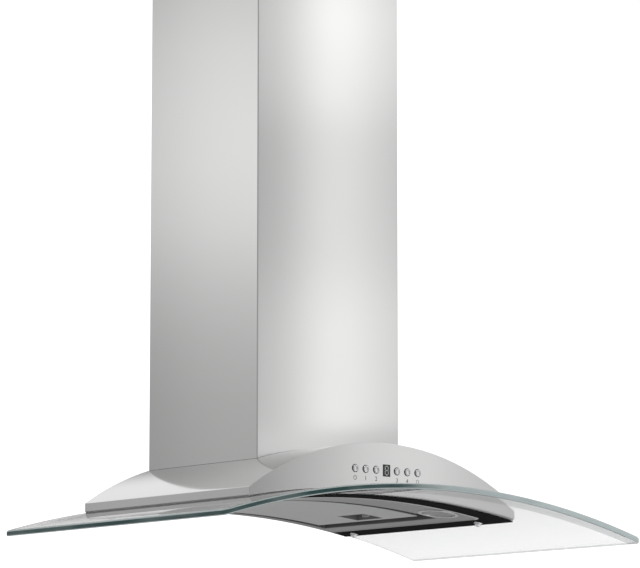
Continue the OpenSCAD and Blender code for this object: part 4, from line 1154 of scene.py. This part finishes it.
# %% [markdown]
# The fan wheel is a squirrel cage: many short blades, curved forwards, between two rings, with
# a disc and a hub in the middle. One bent blade is set round a circle by the group; the rings,
# the disc and the hub sit on the same axis. It turns with the fan's body.

# %% Fan wheel
BLADE_R, BLADE_FROM, BLADE_SWEEP, BLADE_T = 9 * MM, 20, 80, 0.8 * MM
BLADE_SHIFT, BLADE_INSET = -6 * MM, 8 * MM
RING_INSET, RING_WIRE_R, RING_SHARE = 2 * MM, 1.9 * MM, 0.49
DISC_T, HUB_R, HUB_L, HUB_AT = 1.6 * MM, 14 * MM, 21 * MM, -5.5 * MM


def wheel_group(material):
    group, sizes = node_group("squirrel_cage", {"Blades": 32, "Wheel radius": 70 * MM,
                                                "Width": 92 * MM})
    blades, radius, width = (sizes[name] for name in ("Blades", "Wheel radius", "Width"))
    arc = put(group, "GeometryNodeCurveArc",
              {"Resolution": 7, "Radius": BLADE_R, "Start Angle": math.radians(BLADE_FROM),
               "Sweep Angle": math.radians(BLADE_SWEEP)})
    edge = put(group, "GeometryNodeCurveToMesh", {"Curve": arc})
    sheet = put(group, "GeometryNodeExtrudeMesh",
                {"Mesh": edge, "Offset": along_z(group, width), "Offset Scale": 1.0}, mode="EDGES")
    thick = put(group, "GeometryNodeExtrudeMesh",
                {"Mesh": sheet, "Offset Scale": BLADE_T, "Individual": False}, mode="FACES")
    blade = union_of(group, thick, put(group, "GeometryNodeFlipFaces", {"Mesh": sheet}))
    low = along_z(group, maths(group, "MULTIPLY", width, -0.5), BLADE_SHIFT, BLADE_SHIFT)
    places = put(group, "GeometryNodeMeshCircle",
                 {"Vertices": blades, "Radius": maths(group, "SUBTRACT", radius, BLADE_INSET)})
    turn = turned_to(group, put(group, "GeometryNodeInputPosition"), "X", pivot_axis="Z")
    cage = put(group, "GeometryNodeRealizeInstances",
               {"Geometry": set_on_points(group, places, shifted(group, blade, low), turn)})
    ring_r = maths(group, "SUBTRACT", radius, RING_INSET)
    ring = swept(group, circle(group, 96, ring_r), circle(group, 8, RING_WIRE_R))
    high = along_z(group, maths(group, "MULTIPLY", width, RING_SHARE))
    deep = put(group, "ShaderNodeVectorMath", {0: high, 1: (1, 1, -1)}, operation="MULTIPLY")
    wheel = union_of(group, cage, shifted(group, ring, high), shifted(group, ring, deep),
                     cylinder(group, 96, ring_r, DISC_T),
                     shifted(group, cylinder(group, 48, HUB_R, HUB_L), (0, 0, HUB_AT)))
    axis = put(group, "FunctionNodeEulerToRotation", {"Euler": (0, math.pi / 2, 0)})
    return finished(group, sizes, wheel, axis, material)


grown_piece("fan_cage", [(0, FAN_Y, FAN_Z)], wheel_group(galvanised), {}, "fan", "fan_wheel")

# %% [markdown]
# Each lamp is a frosted glass, crowned a little, in a flat ring that sits in the plate. Both
# are turned shapes, so each is a profile of radius and height, spun about the lamp's axis and
# then tilted to the bend.

# %% Lamps
def at_lamps(profile):
    return joined(*[lathe(in_mm(profile), 64, on_bend(side * LAMP_X, LAMP_Y, plate_low_r))
                    for side in (-1, 1)])


LAMP_RING = [(23.6, 1.0), (23.6, -0.6), (24.0, -1.3), (25.4, -1.6), (27.6, -1.5), (29.1, -1.1),
             (29.5, -0.6), (29.3, -0.4), (26.1, -0.4), (26.1, 10), (24.9, 10), (24.9, 1.0),
             (23.6, 1.0)]
LAMP_GLASS = [(0, 3), (24.5, 3), (24.7, 2.8), (24.7, 0.3), (24.4, 0.1), (20, -0.2), (12, -0.4),
              (0, -0.5)]
make_piece("lamp_rings", at_lamps(LAMP_RING), lamp_trim, nodes=["lamp_bezels"])
make_piece("lamp_glasses", at_lamps(LAMP_GLASS), lamp_glass, nodes=["lamp_lenses"])

# %% [markdown]
# Everything else is carried over from the CAD as it is, since it already has its true shape:
# the fan's scroll and motor, the damper, the boards, the brackets, bolts and pins. Each gets
# the finish that its real counterpart has.

# %% Finishes for the CAD nodes
CARRIED = {
    seal_rubber: ["glass_seal"],
    screw_steel: ["glass_bolts", "panel_hinge_pins", "damper_pins", "motor_shaft"],
    steel_inner: ["hinge_brackets", "latch_keeper"],
    galvanised: ["back_plate", "blower_box", "scroll_housing", "inlet_rings", "motor_bracket",
                 "outlet_collar", "cover_clips", "upper_bracket", "capacitor_clip",
                 "damper_flap_front", "damper_flap_back"],
    latch_grey: ["latch_slide"],
    aluminium: ["filter_frame"],
    lamp_metal: ["lamp_housings"],
    board_white: ["lamp_boards"],
    board_green: ["control_board"],
    black_plastic: ["terminal_box", "cable_gland", "control_frame", "display_module",
                    "push_switches"],
    capacitor_white: ["capacitor"],
    smoked: ["display_window"],
    motor_paint: ["motor"],
}
for material, names in CARRIED.items():
    for name in names:
        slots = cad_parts[name].data.materials
        slots.clear()
        slots.append(material)
print("finished CAD nodes", sum(len(names) for names in CARRIED.values()))

# %% [markdown]
# The floor lies as far below the hood as a kitchen's floor would. It is pale paint that throws
# light up at the underside. To the camera it is nearly white, like the rest of the background,
# and it is clear from below, so that the hood can be looked at from any height.

# %% Floor
SQUARE = ((-1, -1), (1, -1), (1, 1), (-1, 1))


def stage_quad(name, corners, material):
    """A flat thing of the studio, whose UVs run from corner to corner."""
    mesh = bpy.data.meshes.new(name)
    mesh.from_pydata(corners, [], [(0, 1, 2, 3)])
    for loop, (u, v) in zip(mesh.uv_layers.new(name="UVMap").data, SQUARE):
        loop.uv = ((u + 1) / 2, (v + 1) / 2)
    mesh.materials.append(material)
    quad = add_object(name, mesh)
    return quad


FLOOR_Z = -1.6
CAMERA_LIFT = 0.95


def floor_material():
    material, tree, shader = start_material("studio_floor", (0.86, 0.86, 0.86), Roughness=0.9)
    seen = put(tree, "ShaderNodeLightPath").outputs["Is Camera Ray"]
    below = put(tree, "ShaderNodeNewGeometry").outputs["Backfacing"]
    lifted = put(tree, "ShaderNodeMixShader",
                 {0: maths(tree, "MULTIPLY", seen, CAMERA_LIFT), 1: shader,
                  2: put(tree, "ShaderNodeEmission")})
    either = put(tree, "ShaderNodeMixShader",
                 {0: below, 1: lifted, 2: put(tree, "ShaderNodeBsdfTransparent")})
    fill(tree, tree.nodes["Material Output"], {"Surface": either})
    return material


floor_corners = [(x * FLOOR_HALF, y * FLOOR_HALF, FLOOR_Z) for x, y in SQUARE]
floor = stage_quad("studio_floor", floor_corners, floor_material())
print(floor.name, "at height", FLOOR_Z)

# %% [markdown]
# Brushed steel shows the room more than its own colour, so the room is built from cards. The
# world itself is white to the camera and behind the hood, as a paper backdrop is, and grey in
# front, where the dark studio would be.

# %% World
PAPER_WHITE = 1.25
FRONT_TONE = 0.38
LEFT_TONE = 0.55
BACK_LOW, BACK_LOW_TONE = 0.30, 0.38
BACK_HIGH, BACK_HIGH_TONE = 0.45, 1.0

world = bpy.data.worlds.new("studio")
bpy.context.scene.world = world
world.use_nodes = True
tree = world.node_tree
tree.nodes.clear()
white = put(tree, "ShaderNodeBackground", {"Color": (1, 1, 1, 1), "Strength": PAPER_WHITE})
x, y, z = coordinates(tree, "Generated")
behind = remap(tree, y, 0.0, 1.0, 0.1, 0.4)
height = remap(tree, z, BACK_LOW_TONE, BACK_HIGH_TONE, BACK_LOW, BACK_HIGH)
to_right = remap(tree, x, LEFT_TONE, 1.0, -0.3, 0.1)
tone = put(tree, "ShaderNodeMix", {"Factor": behind, "A": FRONT_TONE,
                                   "B": maths(tree, "MINIMUM", height, to_right)},
           data_type="FLOAT")
room = put(tree, "ShaderNodeBackground", {"Color": tone, "Strength": 1.0})
paths = put(tree, "ShaderNodeLightPath").outputs
direct = maths(tree, "MAXIMUM", paths["Is Camera Ray"], paths["Is Transmission Ray"])
mix = put(tree, "ShaderNodeMixShader", {0: direct, 1: room, 2: white})
put(tree, "ShaderNodeOutputWorld", {"Surface": mix})
print("world", world.name, "with", len(tree.nodes), "nodes")

# %% [markdown]
# A photographer shapes the shine of a flat steel face with a card that is lit unevenly. Each
# card here glows by two ramps, one across and one up, and stands where one face mirrors it.

# %% Glowing cards
def card_paint(name, width, height, across, upward, strength):
    """Emission that follows stops (metres from the card's middle, tone) both ways."""
    material = bpy.data.materials.new(name)
    material.use_nodes = True
    tree = material.node_tree
    tree.nodes.clear()
    rows = []
    for axis, size, stops in (("X", width, across), ("Y", height, upward)):
        shares = [(0.5 + at / size, (tone, tone, tone)) for at, tone in stops]
        rows.append(colour_ramp(tree, coordinates(tree, "UV")[axis], shares))
    product = put(tree, "ShaderNodeMix", {"Factor": 1.0, 6: rows[0], 7: rows[1]},
                  data_type="RGBA", blend_type="MULTIPLY")
    glow = put(tree, "ShaderNodeEmission", {"Color": product.outputs[2], "Strength": strength})
    put(tree, "ShaderNodeOutputMaterial", {"Surface": glow})
    return material


def glow_card(name, face_point, mirror, distance, width, height, across, upward, strength):
    """A card square to the mirrored view of a face, hidden from the camera, transmission and
    shadows.
    """
    mirror = Vector(mirror).normalized()
    side = Vector((0, 0, 1)).cross(mirror).normalized()
    rise = mirror.cross(side)
    middle = Vector(face_point) + mirror * distance
    corners = [middle + side * (sx * width / 2) + rise * (sy * height / 2) for sx, sy in SQUARE]
    card = stage_quad(name, corners, card_paint(name, width, height, across, upward, strength))
    card.visible_camera = False
    card.visible_transmission = False
    card.visible_shadow = False
    print(name, "stands at", [round(v, 3) for v in middle])


FRONT_MIRROR = (0.647, -0.748, 0.147)
SIDE_MIRROR = (-0.647, 0.748, 0.147)
glow_card("front_card", (0, -0.242, 0.25), FRONT_MIRROR, 0.6, 1.0, 1.8,
          [(-0.40, 0.39), (-0.11, 0.42), (-0.055, 0.50), (-0.025, 0.97), (0.01, 1.0), (0.03, 0.93),
           (0.06, 0.78), (0.10, 0.61), (0.25, 0.52)],
          [(-0.8, 0.85), (-0.15, 0.89), (-0.05, 0.78), (0.04, 0.755), (0.13, 0.765), (0.22, 0.93),
           (0.32, 1.0), (0.41, 0.90), (0.7, 0.89)], 1.66)
glow_card("panel_card", (0, -0.363, -0.145), FRONT_MIRROR, 0.3, 0.9, 0.17,
          [(-0.185, 0.46), (-0.12, 0.65), (-0.062, 0.82), (-0.03, 0.92), (0.025, 1.0), (0.068, 1.0),
           (0.112, 0.88), (0.14, 0.82), (0.185, 0.78)],
          [(-0.08, 1.0), (0.08, 1.0)], 0.93)
glow_card("side_card", (-0.1315, -0.12, 0.2), SIDE_MIRROR, 0.6, 1.0, 1.6,
          [(-0.3, 0.7), (-0.10, 0.76), (-0.05, 0.9), (0.0, 1.0), (0.08, 1.0), (0.3, 0.95)],
          [(-0.5, 0.46), (-0.24, 0.54), (-0.14, 0.62), (-0.05, 0.75), (0.04, 0.92), (0.13, 1.0),
           (0.22, 1.0), (0.32, 0.94), (0.41, 0.82), (0.6, 0.6)], 1.05)

# %% [markdown]
# Two large soft boxes, one high on the left and one low in front, fill the shadows. Their
# brightness is given per area, so that a bigger box is softer and not brighter.

# %% Soft boxes
def soft_box(name, at, target, width, height, radiance):
    light = bpy.data.lights.new(name, "AREA")
    light.shape = "RECTANGLE"
    light.size, light.size_y = width, height
    light.energy = radiance * math.pi * width * height
    box = add_object(name, light)
    at, target = Vector(at), Vector(target)
    facing = (target - at).to_track_quat("-Z", "Y").to_matrix().to_4x4()
    box.matrix_world = Matrix.Translation(at) @ facing
    box.visible_camera = False
    print(name, round(light.energy, 2), "W")


soft_box("top_box", (-0.6, -1.4, 2.6), (0, 0, 0), 2.2, 1.6, 1.6)
soft_box("under_box", (0.4, -0.8, -1.5), (0, -0.2, -0.15), 1.6, 1.2, 0.7)

# %% [markdown]
# The picture is kept in plain display colours, so that the white background stays white.

# %% Finish
bpy.context.scene.view_settings.view_transform = "Standard"
